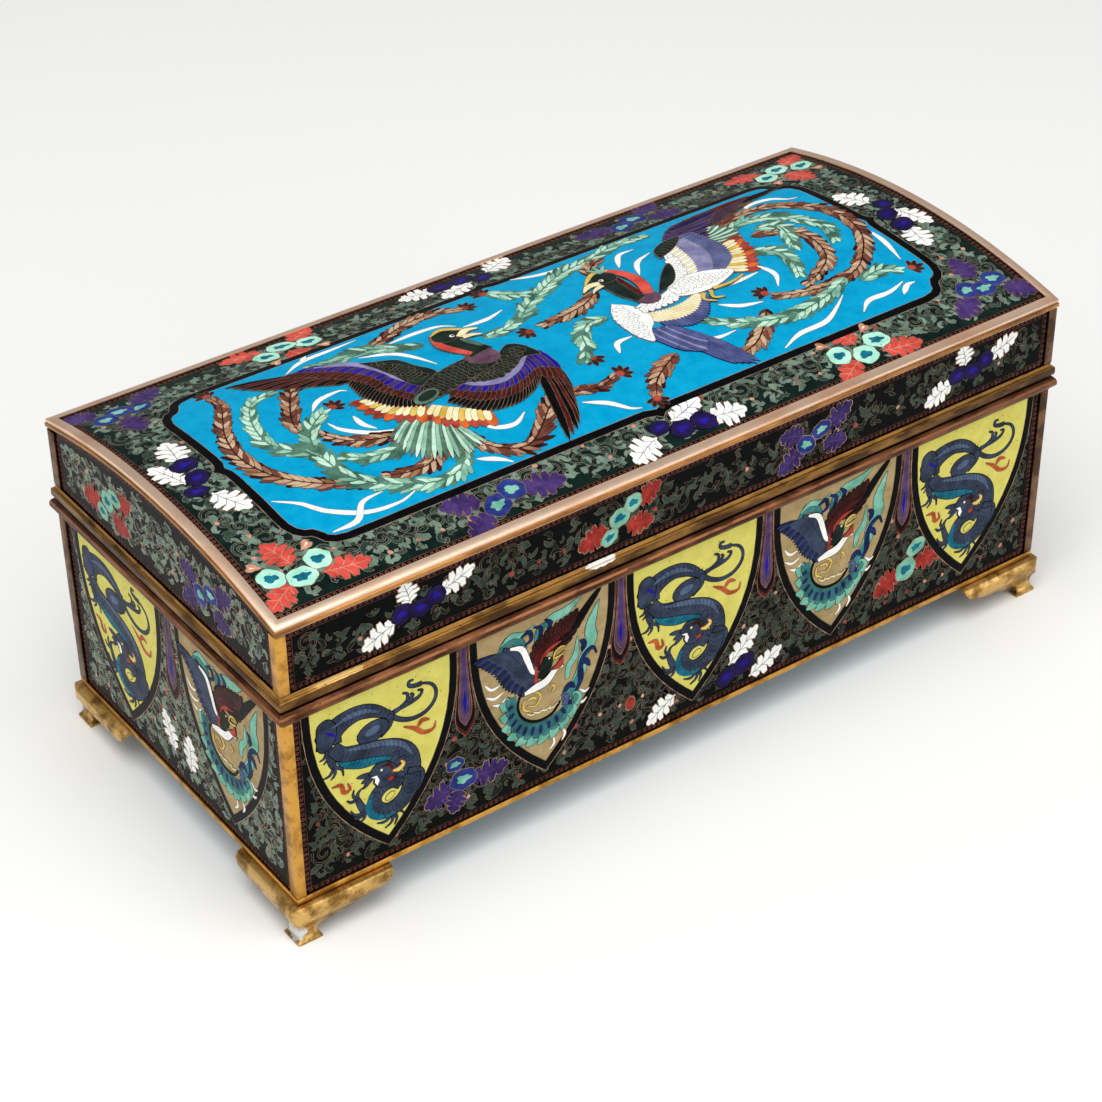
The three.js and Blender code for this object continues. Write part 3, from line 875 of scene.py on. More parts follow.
# %% Phoenix in a shield
def flames(drawing, colour, inner, outer, count, width, sweep):
    """Pointed tongues side by side, from one curve to another, all swept the same way."""
    roots, _, _ = resampled(spline(inner), count)
    tips, _, _ = resampled(spline(outer), count)
    for root, tip in zip(roots, tips):
        along = tip - root
        side = np.array([-along[1], along[0]]) * sweep
        tongue = [root, (root + tip) / 2 + side, tip - side]
        drawing.stroke(colour, tongue, [width, width, 0.15 * width], 8, 0.16)


def phoenix_wisps(pen):
    for points in (
        [(-20, 63), (-17.4, 60.4), (-15, 60.8)], [(-22, 58.6), (-19.6, 56), (-16, 56.4)],
        [(-21.6, 54), (-18.6, 52.4), (-15.4, 53.4)],
        [(-19.4, 50.4), (-16.6, 49.4), (-14.4, 51)], [(13.4, 42), (15.4, 40.4), (17, 41)],
        [(12.4, 38.4), (14.4, 37), (16, 38)],
        [(1.6, 25), (3.4, 26.8), (3, 29.4)], [(6.4, 26.4), (7.6, 28.6), (6.4, 31)],
    ):
        pen.stroke("white", points, [0.25, 0.9, 0.8, 0.25], 9, 0.16)


def phoenix_plumes(pen):
    """The long mint and blue plumes, over the bird and in front of it."""
    pen.edge = "black"
    pen.stroke("sea", [(-17, 67.4), (-13, 70.4), (-9, 68.6), (-6.6, 65.4)], [0.4, 3.4, 3, 0.6], 16, 0.18)
    pen.stroke("mint", [(-16, 69.6), (-12, 71.6), (-7.4, 70.4), (-3.4, 72)], [0.4, 1.8, 1.8, 0.4], 16, 0.16)
    pen.stroke("mint", [(-2, 68.6), (3, 71.6), (8.4, 72.2), (14, 75)], [1, 3.2, 3, 0.4], 16, 0.18)
    pen.stroke("sea", [(-3, 66), (-1.4, 70), (3.4, 70.6)], [1.2, 2.4, 0.4], 12, 0.16)
    for points in ([(-8.4, 69.8), (-5.4, 70.6), (-4.6, 67.6), (-7, 66.4)],
                   [(-3.6, 71.4), (-1, 70), (-1.6, 66.8), (-4, 65)],
                   [(0.6, 72.4), (2.6, 70.2), (1, 67.4)]):
        pen.stroke("deep_blue", points, [0.4, 1.4, 1.4, 0.4], 12, 0.14)
    pen.stroke("mint", [(8.6, 48), (9.4, 52.4), (12, 55.4), (12.6, 61.4)], [1.4, 2.4, 2, 0.3], 14, 0.16)
    pen.stroke("mint", [(10, 44), (14, 48.6), (14.6, 53), (18, 57.6), (17.6, 63), (20.8, 71)],
               [2, 4, 2.6, 4.4, 3.2, 0.3], 26, 0.2)
    pen.stroke("sea", [(6.6, 41), (10.6, 43), (13.4, 46.6), (14, 50.4)], [1, 4, 3.4, 0.6], 16, 0.18)
    for points in (
        [(11, 41), (13.6, 45), (13.6, 49.6), (15, 53.6), (18.4, 55.4), (20, 52.6)],
        [(13.2, 52), (15.8, 51.4), (17.4, 49)],
        [(7, 43.6), (9.6, 45.4), (11.6, 43.6)], [(14.4, 55.4), (15.2, 58), (13.6, 59.6)],
    ):
        pen.stroke("deep_blue", points, [0.4, 1.9, 1.9, 1.5, 0.4], 18, 0.14)


def phoenix_tail(pen):
    """The tail that curls under the bird, with a row of flames outside it."""
    inner = [(-12.4, 49), (-12, 42), (-8, 36.4), (-1, 33.6), (6, 35.4), (10.4, 40)]
    outer = [(-16.6, 48.6), (-15.8, 39.4), (-10, 31.4), (0, 28.6), (8.6, 31.4), (13.4, 37.4)]
    flames(pen, "mint", inner, outer, 11, 4.6, 0.2)
    near = [(-14.4, 49), (-13.8, 41), (-9, 34), (-0.6, 31.6), (6.8, 33.6), (11.2, 38.4)]
    flames(pen, "sea", inner, near, 12, 3.6, 0.16)
    pen.edge = "teal_grey"
    pen.stroke("teal_grey", [(-11.6, 50), (-11.8, 43), (-8, 37), (-1, 34.4), (5.4, 36), (9.4, 40)],
               [1.6, 3.8, 4.2, 4.2, 3.8, 0.8], 24, 0.16)
    pen.edge = "deep_blue"
    pen.fan(["deep_blue"], [(-12, 47), (-11, 42), (-7.4, 37.4), (-1, 35.4), (5, 37), (8, 40.4)],
            [(-14, 46.4), (-13.2, 40.6), (-8.8, 34.8), (-1, 32.6), (6.2, 34.6), (10.2, 38.2)], 11, 1.3, 0,
            0.1)
    pen.edge = "black"
    pen.stroke("black", [(-8.4, 51), (-10.2, 46), (-8.4, 41), (-3.4, 37.6), (2.6, 37.8), (5.8, 41)],
               [0.7, 0.8, 0.7], 20, 0.1)
    pen.stroke("slate_blue", [(7.6, 39), (8.4, 41.6), (6.4, 43)], [2.2, 1.8, 0.4], 9, 0.14)


def phoenix_legs(pen):
    """Golden feet and a few cream down feathers."""
    pen.edge = "dim_wire"
    for points in (
        [(-8.4, 49), (-4.4, 48.8), (-1.4, 46.4), (-3.4, 43.4), (-6.4, 44.6)],
        [(-6.6, 46.8), (-4, 46.6), (-3.2, 45.2)],
        [(-7.8, 47), (-8, 44), (-5.4, 42.2)], [(2.4, 48.6), (3.8, 47.2), (2.6, 46)],
    ):
        pen.stroke("gold", points, [0.35, 0.9, 0.8, 0.3], 12, 0.12)
    for k in range(4):
        pen.stroke("cream", [(-7 + 2.6 * k, 42 - 0.5 * k), (-5 + 2.6 * k, 40.6 - 0.2 * k),
                             (-2.8 + 2.6 * k, 41)], [0.25, 0.6, 0.25], 7, 0.1)


def phoenix_far_wing(pen):
    pen.edge = "black"
    pen.fan(["brown", "black"], [(1.6, 61.4), (6, 63.4), (10, 65.4)], [(10.6, 61), (15, 66), (22.2, 75)],
            8, 2.3, 0.7)
    pen.fan(["brown"], [(-1.6, 58), (0.4, 62), (4.6, 64), (9.6, 66)],
            [(-5.4, 61.4), (-3, 66), (3, 69), (13, 71)], 12, 2.3, 0.5, 0.2)
    pen.stroke("maroon", [(-2.8, 54.6), (-2.8, 59.6), (0.4, 62.8), (5, 64.4), (10.4, 65.6)],
               [1.2, 2.6, 2.8, 2.2, 0.6], 18, 0.16)
    ribs(pen, [(-2.6, 57), (-1.8, 60.6), (1.4, 63), (5.6, 64.4), (9, 65.2)], 2.4, 1.0, "black")
    pen.stroke("rust", [(-1.2, 55), (-0.8, 59), (2, 61.4), (6.4, 62.6)], [0.7, 1.3, 1.3, 0.4], 14, 0.12)


def phoenix_near_wing(pen):
    pen.fan(["deep_blue", "slate"], [(-17, 67), (-12, 64.4), (-8, 58.6), (-5, 53)],
            [(-26, 68.6), (-19, 61.4), (-15, 54.6), (-9, 49.4)], 18, 1.9, 0.5, 0.14)
    pen.edge = "slate_light"
    pen.fan(["slate"], [(-13.6, 67), (-9.4, 63.4), (-6, 57.8), (-3.4, 53)],
            [(-20.4, 67.2), (-14.4, 61.4), (-11.4, 56), (-7, 51.6)], 18, 1.6, 0.3, 0.1)
    pen.edge = "black"
    pen.stroke("slate", [(-15, 68.4), (-10.4, 65), (-6, 58.8), (-2.4, 53)], [1, 2.8, 3.2, 2.4], 16, 0.1)
    pen.stroke("white", [(-12.6, 67.6), (-8.4, 65.8), (-6, 60), (-4.4, 56), (-1.4, 54.6)],
               [0.8, 2, 2, 1.6, 0.8], 18, 0.16)


def phoenix_head(pen):
    """The white breast, the neck and the head with its comb and beak."""
    pen.stroke("white", [(-7.6, 49.4), (-3.6, 50), (0.6, 50.6), (4.4, 53.6), (7, 53.4)],
               [1.2, 2.6, 2.8, 2.2, 0.6], 14, 0.18)
    pen.stroke("rust", [(-3.4, 51.6), (-3, 54.6), (-3.4, 57.6)], [1.6, 1.4, 0.5], 9, 0.12)
    pen.stroke("forest", [(-1.6, 52.6), (0.2, 55.4), (1.6, 58.6)], [2.4, 4.4, 4], 11, 0.16)
    pen.stroke("rust", [(3, 54), (5.6, 54.4), (6.8, 57)], [0.6, 2.2, 0.5], 9, 0.14)
    pen.stroke("gold", [(3.4, 57.2), (4, 59.4), (6.4, 60.6), (8.4, 59.8)], [0.4, 0.8, 0.7, 0.25], 12, 0.12)
    pen.stroke("gold", [(3.8, 57.4), (6, 57.6), (7.6, 58.6)], [0.8, 0.8, 0.25], 9, 0.12)
    pen.cell("cream", disc((1.8, 58.4), 0.4, 8), 0.1)


def phoenix(wall, centre):
    pen = Drawing(wall.part, wall.face, FIGURE_LIFT, (centre, 0), (0.9, 0.97), (0, 50))
    for draw in (
        phoenix_wisps, phoenix_plumes, phoenix_tail, phoenix_legs, phoenix_far_wing, phoenix_near_wing,
        phoenix_head,
    ):
        draw(pen)


# %% Figures on all shields
for wall in body_walls:
    for k, centre in enumerate(wall.centres):
        (dragon if k % 2 == 0 else phoenix)(wall, centre)
report("dragons and phoenixes")

# %% [markdown]
# ## The turquoise panel
# The picture on the lid is framed by a black band between two wires. The frame has a small
# cusp at each corner and at the middle of each side, so a quarter of it is drawn and mirrored.

# %% Panel frame
PANEL_LIFT = 0.09


def panel_outline():
    """Clockwise from the middle of the back edge: one quarter, and then its mirror images."""
    quarter = [(0, 45.9), (1.6, 44.4), (4.2, 43.7), (7, 43.6), (101, 43.6), (105, 42.8), (107.6, 41),
               (108.8, 38.6), (109.6, 37.5), (111.4, 36.8), (113.6, 34.4), (114.8, 30.8), (115, 27),
               (115, 6), (115.2, 3), (115.8, 1.4), (117.2, 0)]
    quarter = np.array(quarter)
    lower = quarter[::-1] * (1, -1)
    right = np.vstack([quarter, lower[1:]])
    left = (right * (-1, 1))[::-1]
    return np.vstack([right, left[1:-1]])


frame_line = panel_outline()
for shade, growth, lift in (
    ("pale_wire", 0.0, 0), ("black", -0.25, 3), ("pale_wire", -2.75, 4), ("turquoise", -2.95, 5),
):
    gather("lid_top", shade, on_top, grown(frame_line, growth), PANEL_LIFT + 0.006 * lift)
report("panel")

# %% [markdown]
# ## Plumes and ribbons
# Long tail plumes curl round both birds. A plume is a curve with leafy barbs on both sides: the
# dark barbs first, and then paler, shorter ones between them. Thin white ribbons float between.

# %% Plumes
PICTURE_LIFT = PANEL_LIFT + 0.05
BARB_SPACING = 2.9
STEM_POINTS = 80
TIER = 18 * LAYER  # room for one plume, so that plumes which cross don't mix
BIRDS_ABOVE = 110 * LAYER  # room for all plumes, with the birds over them


def barbs(drawing, points, tones, length, width, shift, reach):
    """One pass of barbs on both sides of a stem, in three heights so that no neighbours share one."""
    path, heading, total = resampled(spline(points), STEM_POINTS)
    last = STEM_POINTS - 1
    count = max(4, round(total / BARB_SPACING))
    start = drawing.lift
    for k in range(count):
        i = min(last, int((k + shift) / count * last))
        side = sideways(heading[i:i + 1])[0]
        size = length * (0.6 + 0.4 * math.sin(math.pi * min(1, (k + 1.5) / count)))
        for hand in (-1, 1):
            reached = size * (0.8 + 0.4 * random.random())
            drawing.lift = start + 2 * (k % 3) * LAYER
            root = path[i] - side * hand * 0.3
            tip = path[i] + reached * (heading[i] * 0.74 + side * hand * reach)
            tone = tones[random.randrange(len(tones))]
            drawing.cell(tone, blade(root, tip, width, -hand * 0.8, 0.62), 0.13)
    drawing.lift = start + 8 * LAYER


def plume(drawing, points, dark, pale, length, tier):
    """A plume on its own tier, with a thin dark stem over its barbs."""
    start = drawing.lift
    drawing.lift = start + tier * TIER
    drawing.edge = dark[0]
    barbs(drawing, points, dark, length, 1.9, 0.0, 0.6)
    barbs(drawing, points, pale, length * 0.9, 1.5, 0.5, 0.54)
    drawing.stroke(dark[0], points, [0.3, 0.5, 0.5, 0.3], 40, 0)
    drawing.edge = "wire"
    drawing.lift = start


def plume_head(drawing, x, y, turn):
    """The dark flower that ends a plume."""
    for spread in (-75, -38, 0, 38, 75):
        tip = turned([(4.2 - abs(spread) * 0.008, 0)], turn + spread)[0] + (x, y)
        drawing.cell("brown", blade((x, y), tip, 1.5, 0.5), 0.12)
    drawing.cell("rust", disc((x, y), 1.2, 9), 0.12)


def wisps(drawing, paths):
    """White ribbons that swell and taper."""
    for points in paths:
        drawing.stroke("white", points, [0.3, 1.6, 1.8, 1.2, 0.25], 16, 0.13)


BROWNS, TANS = ["brown", "chestnut", "umber"], ["umber", "fawn", "fawn", "chestnut"]
SAGES, MINTS = ["sage", "sage", "celadon"], ["celadon", "pale_celadon", "pale_celadon", "sage"]


def plumage(drawing, browns, mints, mint_length, heads):
    """All plumes of one bird: three tiers of brown ones, three of mint ones, and their flowers."""
    for k, points in enumerate(browns):
        plume(drawing, points, BROWNS, TANS, 6.0, k % 3)
    for k, points in enumerate(mints):
        plume(drawing, points, SAGES, MINTS, mint_length, 3 + k % 3)
    for x, y, turn in heads:
        plume_head(drawing, x, y, turn)


# %% White ribbons
pen = Drawing("lid_top", on_top, PICTURE_LIFT)
wisps(pen, [
    [(-73.5, 34), (-66, 38), (-56, 38.6), (-47, 39)], [(-66, 38), (-63, 40.6)],
    [(-53, 28), (-45, 24), (-41, 18), (-38, 10)], [(-42, 29.5), (-33, 30), (-25, 29), (-21, 25.5)],
    [(-20, 23.5), (-12, 23), (-5, 25)], [(-79.5, 10), (-75, 14), (-68, 15), (-66, 13.5)],
    [(-79.5, 2), (-78, -3), (-72, -9), (-64, -12)], [(-72, 1), (-72, -4), (-70, -8)],
    [(-111, -20), (-105, -25), (-101, -31), (-92, -37), (-82, -38), (-76, -36)],
    [(-104, -39), (-96, -38.5), (-91, -33), (-84, -32)], [(-46, -22), (-42, -26), (-37, -27), (-32, -24)],
    [(-55, -34), (-50, -37), (-47, -40)], [(-16, -29), (-10, -33), (-6, -38), (-3, -39.5)],
    [(9, 41), (15, 38), (21, 36.5), (29, 37)], [(37, 24), (42, 31), (48, 31.5)],
    [(38.5, 16), (43, 23), (50, 26)],
    [(88, 29), (94, 32), (101, 31), (105, 27), (108, 26)], [(110, -5), (109.5, -13), (107, -23)],
    [(7, -16), (9.5, -11.5), (15, -11)], [(25, -16), (28, -22), (35, -25), (42, -25)],
    [(46, -12), (51, -16), (58, -18)], [(50, -4.5), (60, -5), (67, -4.5)], [(69, -1), (70.5, -8), (67, -14)],
    [(49, -39), (57, -36), (67, -35.5), (74, -32), (80, -28)],
    [(80, -37.5), (85, -34), (93, -34), (100, -32)],
    [(96, -37), (100, -34), (103, -34)],
])

# %% Plumes of the left bird
LEFT_BROWN = [
    [(-60, -14), (-66, -14), (-73, -12), (-80, -8), (-84, -1)],
    [(-57, -19), (-61, -25), (-67, -29), (-74, -29), (-80, -27)],
    [(-80, -31), (-91, -24), (-98, -19), (-104, -12), (-107, -4), (-107.5, 4), (-105, 14), (-101, 22),
     (-97, 30), (-97, 36)],
    [(-88, 2), (-87, 8), (-83, 16), (-78, 23), (-71, 24)],
    [(-52, -22), (-49, -31), (-43, -36), (-38, -36), (-32, -32), (-25, -26), (-19, -23), (-8, -26),
     (-1, -24)],
    [(-47, 31), (-40, 34), (-32, 37), (-22, 38), (-14, 34)],
]
LEFT_MINT = [
    [(-55, -20), (-55, -27), (-60, -34.5), (-68, -36.5), (-77, -33), (-85, -27), (-89, -20), (-90, -10),
     (-97, 0), (-97.5, 8), (-95, 17), (-90, 25), (-81, 27)],
    [(-89, -10), (-88, -3), (-84, 3), (-77, 8)],
    [(-58, -15), (-63, -17), (-71, -19), (-79, -18), (-85, -14)],
    [(-35, 22), (-42, 26), (-50, 31), (-58, 31), (-67, 33)],
    [(-19, 14), (-12, 14), (-4, 17), (2, 22), (12, 28), (22, 33), (34, 35), (45, 38), (57, 37)],
]
LEFT_HEADS = [(-97, 38, 95), (-74, 8.5, 20), (1, -24, 10), (-12.5, 34, 0)]
plumage(pen, LEFT_BROWN, LEFT_MINT, 6.4, LEFT_HEADS)
report("left plumes")

# %% Plumes of the right bird
RIGHT_BROWN = [
    [(76, 25), (85, 28), (96, 27), (104, 21), (109, 12), (109.5, 3), (106.5, -6), (100, -14), (92, -20),
     (80, -22), (68, -20), (62, -17)],
    [(80, 14), (88, 11), (92.5, 5), (92, -4), (88, -11), (80, -16), (74, -18)],
    [(56, -22), (50, -28), (43, -33), (35, -35)],
    [(20, -25), (14, -28), (8, -32), (4, -37)],
    [(22, 16), (16, 12), (8, 10), (-2, 9)],
    [(28, 24), (30, 29), (36, 33)],
]
RIGHT_MINT = [
    [(74, 21), (84, 23), (93, 20), (98, 13), (101, 5), (98, -4)],
    [(73, 7), (79, 2), (79, -6), (76, -13)],
    [(86, -22), (75, -26), (62, -28), (52, -26), (44, -22), (37, -16)],
    [(90, -25), (98, -24), (103, -27)],
    [(84, 17), (90, 14), (88, 6), (85, 0)],
    [(15, 1), (10, 2), (4, -2), (1, -8), (-4, -14)],
    [(-2, 38), (2, 32), (8, 27)],
]
RIGHT_HEADS = [
    (61, -15, 120), (107, -28, 350), (-7, 8.5, 180), (3, -38.5, 250), (73, 15, 120), (-3, 38, 100),
    (-1, -13.5, 250),
]
plumage(pen, RIGHT_BROWN, RIGHT_MINT, 6.2, RIGHT_HEADS)
BIRD_LIFT = pen.lift + BIRDS_ABOVE
report("right plumes")

# %% [markdown]
# ## The two birds of the lid
# Both birds are seen from the side with their wings spread. A wing is a few rows of feathers,
# laid from the tips inward: the flight feathers, the bands over them, and the scaly coverts.
# Every row is a fan between two curves, so the outline of a wing comes from its feathers.

# %% Bird pieces
def scales(drawing, points, width, radius, colour):
    """Overlapping scales along a body, laid from the tail to the breast."""
    path, _, total = resampled(spline(points), 40)
    count = max(4, round(total / (1.1 * radius)))
    path, heading, _ = resampled(path, count)
    side = sideways(heading)
    widths = np.interp(np.linspace(0, 1, count), np.linspace(0, 1, len(width)), width)
    for k in range(count):
        across = max(1, int(widths[k] / (1.7 * radius)))
        for j in range(across):
            shift = (j - (across - 1) / 2 + (0.25 if k % 2 else -0.25)) * 1.7 * radius
            if abs(shift) + 0.5 * radius > widths[k] / 2:
                continue
            drawing.cell(colour, disc(path[k] + side[k] * shift, radius, 8), 0.16, rise=0)
        drawing.lift += 2 * LAYER


def fringe(drawing, roots, tips, count):
    """The cream and red fringe below a wing: pointed red blades under rounder cream ones."""
    drawing.fan(["rust", "orange", "rust"], roots, tips, count, 3.4, 0.5, 0.14)
    roots, tips = np.array(roots, float), np.array(tips, float)
    drawing.fan(["cream", "cream", "gold"], roots, roots + (tips - roots) * 0.66, count + 2, 2.2, -0.3, 0.13)


# %% Left bird: tail and fringe
FRINGE_ROOM = 46 * LAYER
pen = Drawing("lid_top", on_top, BIRD_LIFT)
pen.fan(["sage", "pale_celadon", "celadon"], [(-60, -9), (-56, -11), (-52, -15), (-51, -19)],
        [(-70, -13), (-70, -24), (-60, -31), (-50, -30)], 21, 1.5, 1.2, 0.14)
fringe(pen, [(-62, 3), (-59, -2), (-54, -6)], [(-69.5, 7), (-68, -4), (-59, -13)], 8)
pen.lift = BIRD_LIFT + FRINGE_ROOM
fringe(pen, [(-51, -8), (-46, -13), (-41, -18)], [(-57, -13), (-53, -20), (-43, -25)], 8)
WING_LIFT = pen.lift

# %% Left bird: the wing on the left
pen.fan(["black", "maroon"], [(-64, 26), (-60, 22), (-57, 17)], [(-90, 39.6), (-84, 31), (-67, 19.5)], 13,
        2.7, 1.2, 0.15)
pen.fan(["black"], [(-57, 18), (-54.5, 11), (-53, 4), (-50, -1)],
        [(-64.4, 15.5), (-65, 7), (-61.5, -1.5), (-54.5, -6.5)], 22, 1.7, 0.5, 0.16)
pen.fan(["maroon", "brown"], [(-66, 30), (-60, 24), (-56, 17), (-53.4, 9), (-51, 1)],
        [(-76, 32.5), (-68, 24.5), (-61, 15), (-59.6, 7), (-55.4, -2)], 22, 2.1, 0.3, 0.14)
pen.fan(["violet", "purple"], [(-63, 29.6), (-56.4, 23.4), (-52, 15), (-50, 7), (-47.6, 2)],
        [(-71, 32.4), (-62.4, 24.6), (-57, 15.4), (-56.4, 7), (-53, 0)], 20, 2.4, 0.2, 0.14)
pen.stroke("lavender", [(-66, 31), (-57, 25.4), (-52.6, 17), (-51, 9), (-48.4, 3)],
           [0.5, 2.4, 2.6, 2.4, 1], 20, 0.14)
pen.cell("forest", spline([(-55, 24), (-50.6, 21.6), (-46, 18.6), (-44, 13), (-41, 6), (-46, 1), (-50, 4),
                           (-51.4, 11), (-53, 18), (-55, 24)], 5), 0.2)
scales(pen, [(-51.6, 21), (-48.6, 14), (-46.6, 6)], [2, 5.6, 6], 1.0, "forest")
wing_top = pen.lift

# %% Left bird: the wing on the right
pen.lift = WING_LIFT
pen.fan(["black", "maroon"], [(-12.5, -12), (-14.6, -10), (-17, -9)], [(-15, -24), (-21, -36), (-28, -41)],
        9, 2.4, -0.8, 0.15)
pen.fan(["black"], [(-18, -8), (-23, -12), (-30, -14), (-37, -12), (-42, -7)],
        [(-20, -15), (-25, -18.4), (-33, -20.4), (-41.5, -18), (-47, -9.4)], 24, 1.7, -0.4, 0.16)
pen.fan(["maroon", "brown"], [(-12, -8), (-16, -5), (-22, -9), (-29, -11), (-36, -9), (-40.6, -4)],
        [(-14, -18), (-19.6, -13), (-23.6, -15), (-31, -16.6), (-39, -14), (-45, -7.6)], 24, 2.0, -0.3,
        0.14)
pen.fan(["violet", "purple"], [(-12, -2), (-16, -1), (-21, -5), (-28, -7.6), (-34, -6), (-38.6, -2)],
        [(-11.6, -13), (-16.6, -9.4), (-22.6, -11.6), (-30, -13), (-37, -10.4), (-42.6, -5)], 22, 2.3,
        -0.2, 0.14)
pen.stroke("lavender", [(-13, 0), (-17, -2.4), (-22, -6.2), (-29, -8.6), (-35, -6.6), (-39.4, -2.6)],
           [0.6, 2, 2.4, 2.4, 2, 0.8], 20, 0.14)
pen.cell("forest", spline([(-24, 1), (-19.6, 4.6), (-16.4, 5.8), (-13.4, 3), (-11.8, -3), (-13, -3.4),
                           (-17, -2.2), (-22, -5.4), (-29, -7), (-35, -4.6), (-30, 0), (-24, 1)], 4), 0.2)
scales(pen, [(-35, -4), (-28, -4.6), (-21, -1.4), (-15.6, 2)], [3, 5.6, 5.6, 4], 1.0, "forest")
pen.lift = max(pen.lift, wing_top)

# %% Left bird: body and head
pen.stroke("forest", [(-54, -4), (-47, -1.6), (-40, 0.6), (-32, 2.2), (-25, 3)], [3.4, 7.6, 9.6, 9.4, 7],
           22, 0.2)
scales(pen, [(-53, -4), (-46, -1.4), (-39, 0.8), (-31, 2.2), (-27, 3)], [3, 7.4, 9.2, 9, 6], 1.15, "forest")
pen.cell("sage", disc((-50.6, -3.4), 4.6, 14, 0.55, 18), 0.16)
pen.cell("forest", disc((-50.2, -3.2), 3.6, 12, 0.5, 18), 0.1)
pen.cell("mauve", disc((-26, 5), 5, 16, 0.86, -30), 0.2)
pen.stroke("forest", [(-25, 7), (-26, 12), (-28, 17), (-28.4, 21.6)], [8, 6.4, 6, 6.6], 16, 0.2)
pen.stroke("red", [(-27.6, 8), (-30.4, 13), (-32, 18), (-31, 23.6)], [1.6, 2.6, 2.6, 1], 14, 0.16)
pen.stroke("sage", [(-22.4, 10), (-24.4, 14), (-25.2, 17)], [1, 1.3, 0.4], 8, 0.12)
pen.cell("forest", disc((-27.6, 21.4), 4.2, 16, 0.86, 10), 0.18)
pen.stroke("gold", [(-31, 24), (-26.6, 25.6), (-22.4, 22.6), (-20, 20)], [0.5, 1.6, 1.4, 0.5], 12, 0.12)
pen.stroke("cream", [(-24.6, 18.4), (-21, 20.6), (-17.6, 19.4)], [2.2, 2.4, 0.5], 10, 0.14)
pen.stroke("cream", [(-24, 17.6), (-21, 17), (-18.6, 15.6)], [2, 1.6, 0.4], 9, 0.14)
pen.cell("white", disc((-26, 20.2), 0.75, 9), 0.14)
pen.cell("black", disc((-25.8, 20.2), 0.45, 7), 0)
report("left bird")

# %% Right bird: tail and fringe
pen = Drawing("lid_top", on_top, BIRD_LIFT)
pen.fan(["pale_celadon", "sage"], [(68, 17), (69, 21), (70, 25)], [(76, 13), (79, 20), (76, 28)], 13, 1.5,
        0.8, 0.14)
fringe(pen, [(60, 2), (64, 8), (68, 14)], [(68.5, -4), (75, 6), (77, 16)], 9)
WING_LIFT = pen.lift

# %% Right bird: the wing on the right
pen.fan(["black", "brown"], [(62, 29), (66, 32), (70, 33.4)], [(86, 31.6), (100, 36), (109.6, 37.4)], 9,
        3.0, -1.2, 0.15)
pen.fan(["maroon", "deep_blue"], [(58, 29), (62, 33), (66, 35.4)], [(80, 29.6), (92, 35), (98, 38.4)], 9,
        2.8, -1, 0.15)
pen.fan(["plum", "purple"], [(56, 25), (60, 31), (64, 34)], [(70, 22), (76, 30.6), (84, 36.6)], 11, 2.8,
        -0.6, 0.15)
pen.edge = "grey"
pen.fan(["slate_blue"], [(50, 2), (55, 8), (58, 15), (59, 22), (60, 27)],
        [(60.6, 2.6), (66.6, 7), (69.4, 14), (69, 21), (68, 27.6)], 24, 2.2, 0, 0.13)
pen.fan(["lavender"], [(46, 3), (50, 9), (53, 16), (55, 24)], [(56, 3), (60.6, 9), (63.4, 16), (63.6, 26)],
        20, 2.1, 0, 0.13)
pen.fan(["cream", "white"], [(42, 3), (46, 9), (49.6, 16), (53, 23)],
        [(51, 3.4), (54.6, 9), (57, 16), (58.4, 24.6)], 18, 2.1, 0, 0.13)
pen.cell("white", spline([(37, 1), (41, 5), (46, 11), (50, 18), (53, 24), (53.4, 18), (51, 10), (47, 4),
                          (42, 0.4), (37, 1)], 5), 0.16)
scales(pen, [(39, 1.4), (44, 5.6), (48.6, 11), (52, 19)], [2.4, 5, 5, 3], 0.95, "white")
pen.edge = "wire"
pen.cell("forest", spline([(36, 3), (40, 8), (45, 13), (49, 15.6), (47.4, 10.6), (43, 5.4), (36, 3)], 5),
         0.18)
pen.cell("forest", spline([(49.4, 20), (51, 25), (56, 28), (62.6, 28.4), (59, 24.4), (54, 21.4),
                           (49.4, 20)], 5), 0.18)
ribs(pen, [(51, 21.6), (55, 24.4), (60.6, 27.4)], 3.6, 1.5)
wing_top = pen.lift

# %% Right bird: the wing on the left
pen.lift = WING_LIFT
pen.edge = "deep_blue"
pen.fan(["slate_blue"], [(24, -16), (26, -15), (28.6, -16)], [(31, -38), (37.6, -41), (35, -31)], 10, 2.4,
        1.2, 0.14)
pen.fan(["slate_blue", "slate_blue", "lavender"], [(19, -12), (23, -12), (27, -13)],
        [(23, -26), (28, -29), (31.4, -25)], 10, 2.3, 0.8, 0.14)
pen.fan(["slate_blue"], [(27, -7), (32, -9), (38, -8), (43, -5)],
        [(27, -13), (33, -16.6), (40, -15), (46, -8)], 18, 2.0, 0, 0.13)
pen.edge = "grey"
pen.fan(["cream"], [(25, -4), (31, -5.6), (37, -5.6), (43, -4)],
        [(26, -10), (32.4, -12), (39, -11), (45, -6)], 18, 1.9, 0, 0.13)
pen.cell("white", spline([(20.6, 6), (17, 1), (15.6, -5), (16, -12), (18.6, -17), (21.4, -12), (24.4, -9),
                          (26, -4), (24.4, 2), (20.6, 6)], 5), 0.18)
scales(pen, [(18, -14), (18.6, -8), (19.6, -2), (21, 3.4)], [3, 6, 7, 3], 0.95, "white")
pen.lift = max(pen.lift, wing_top)

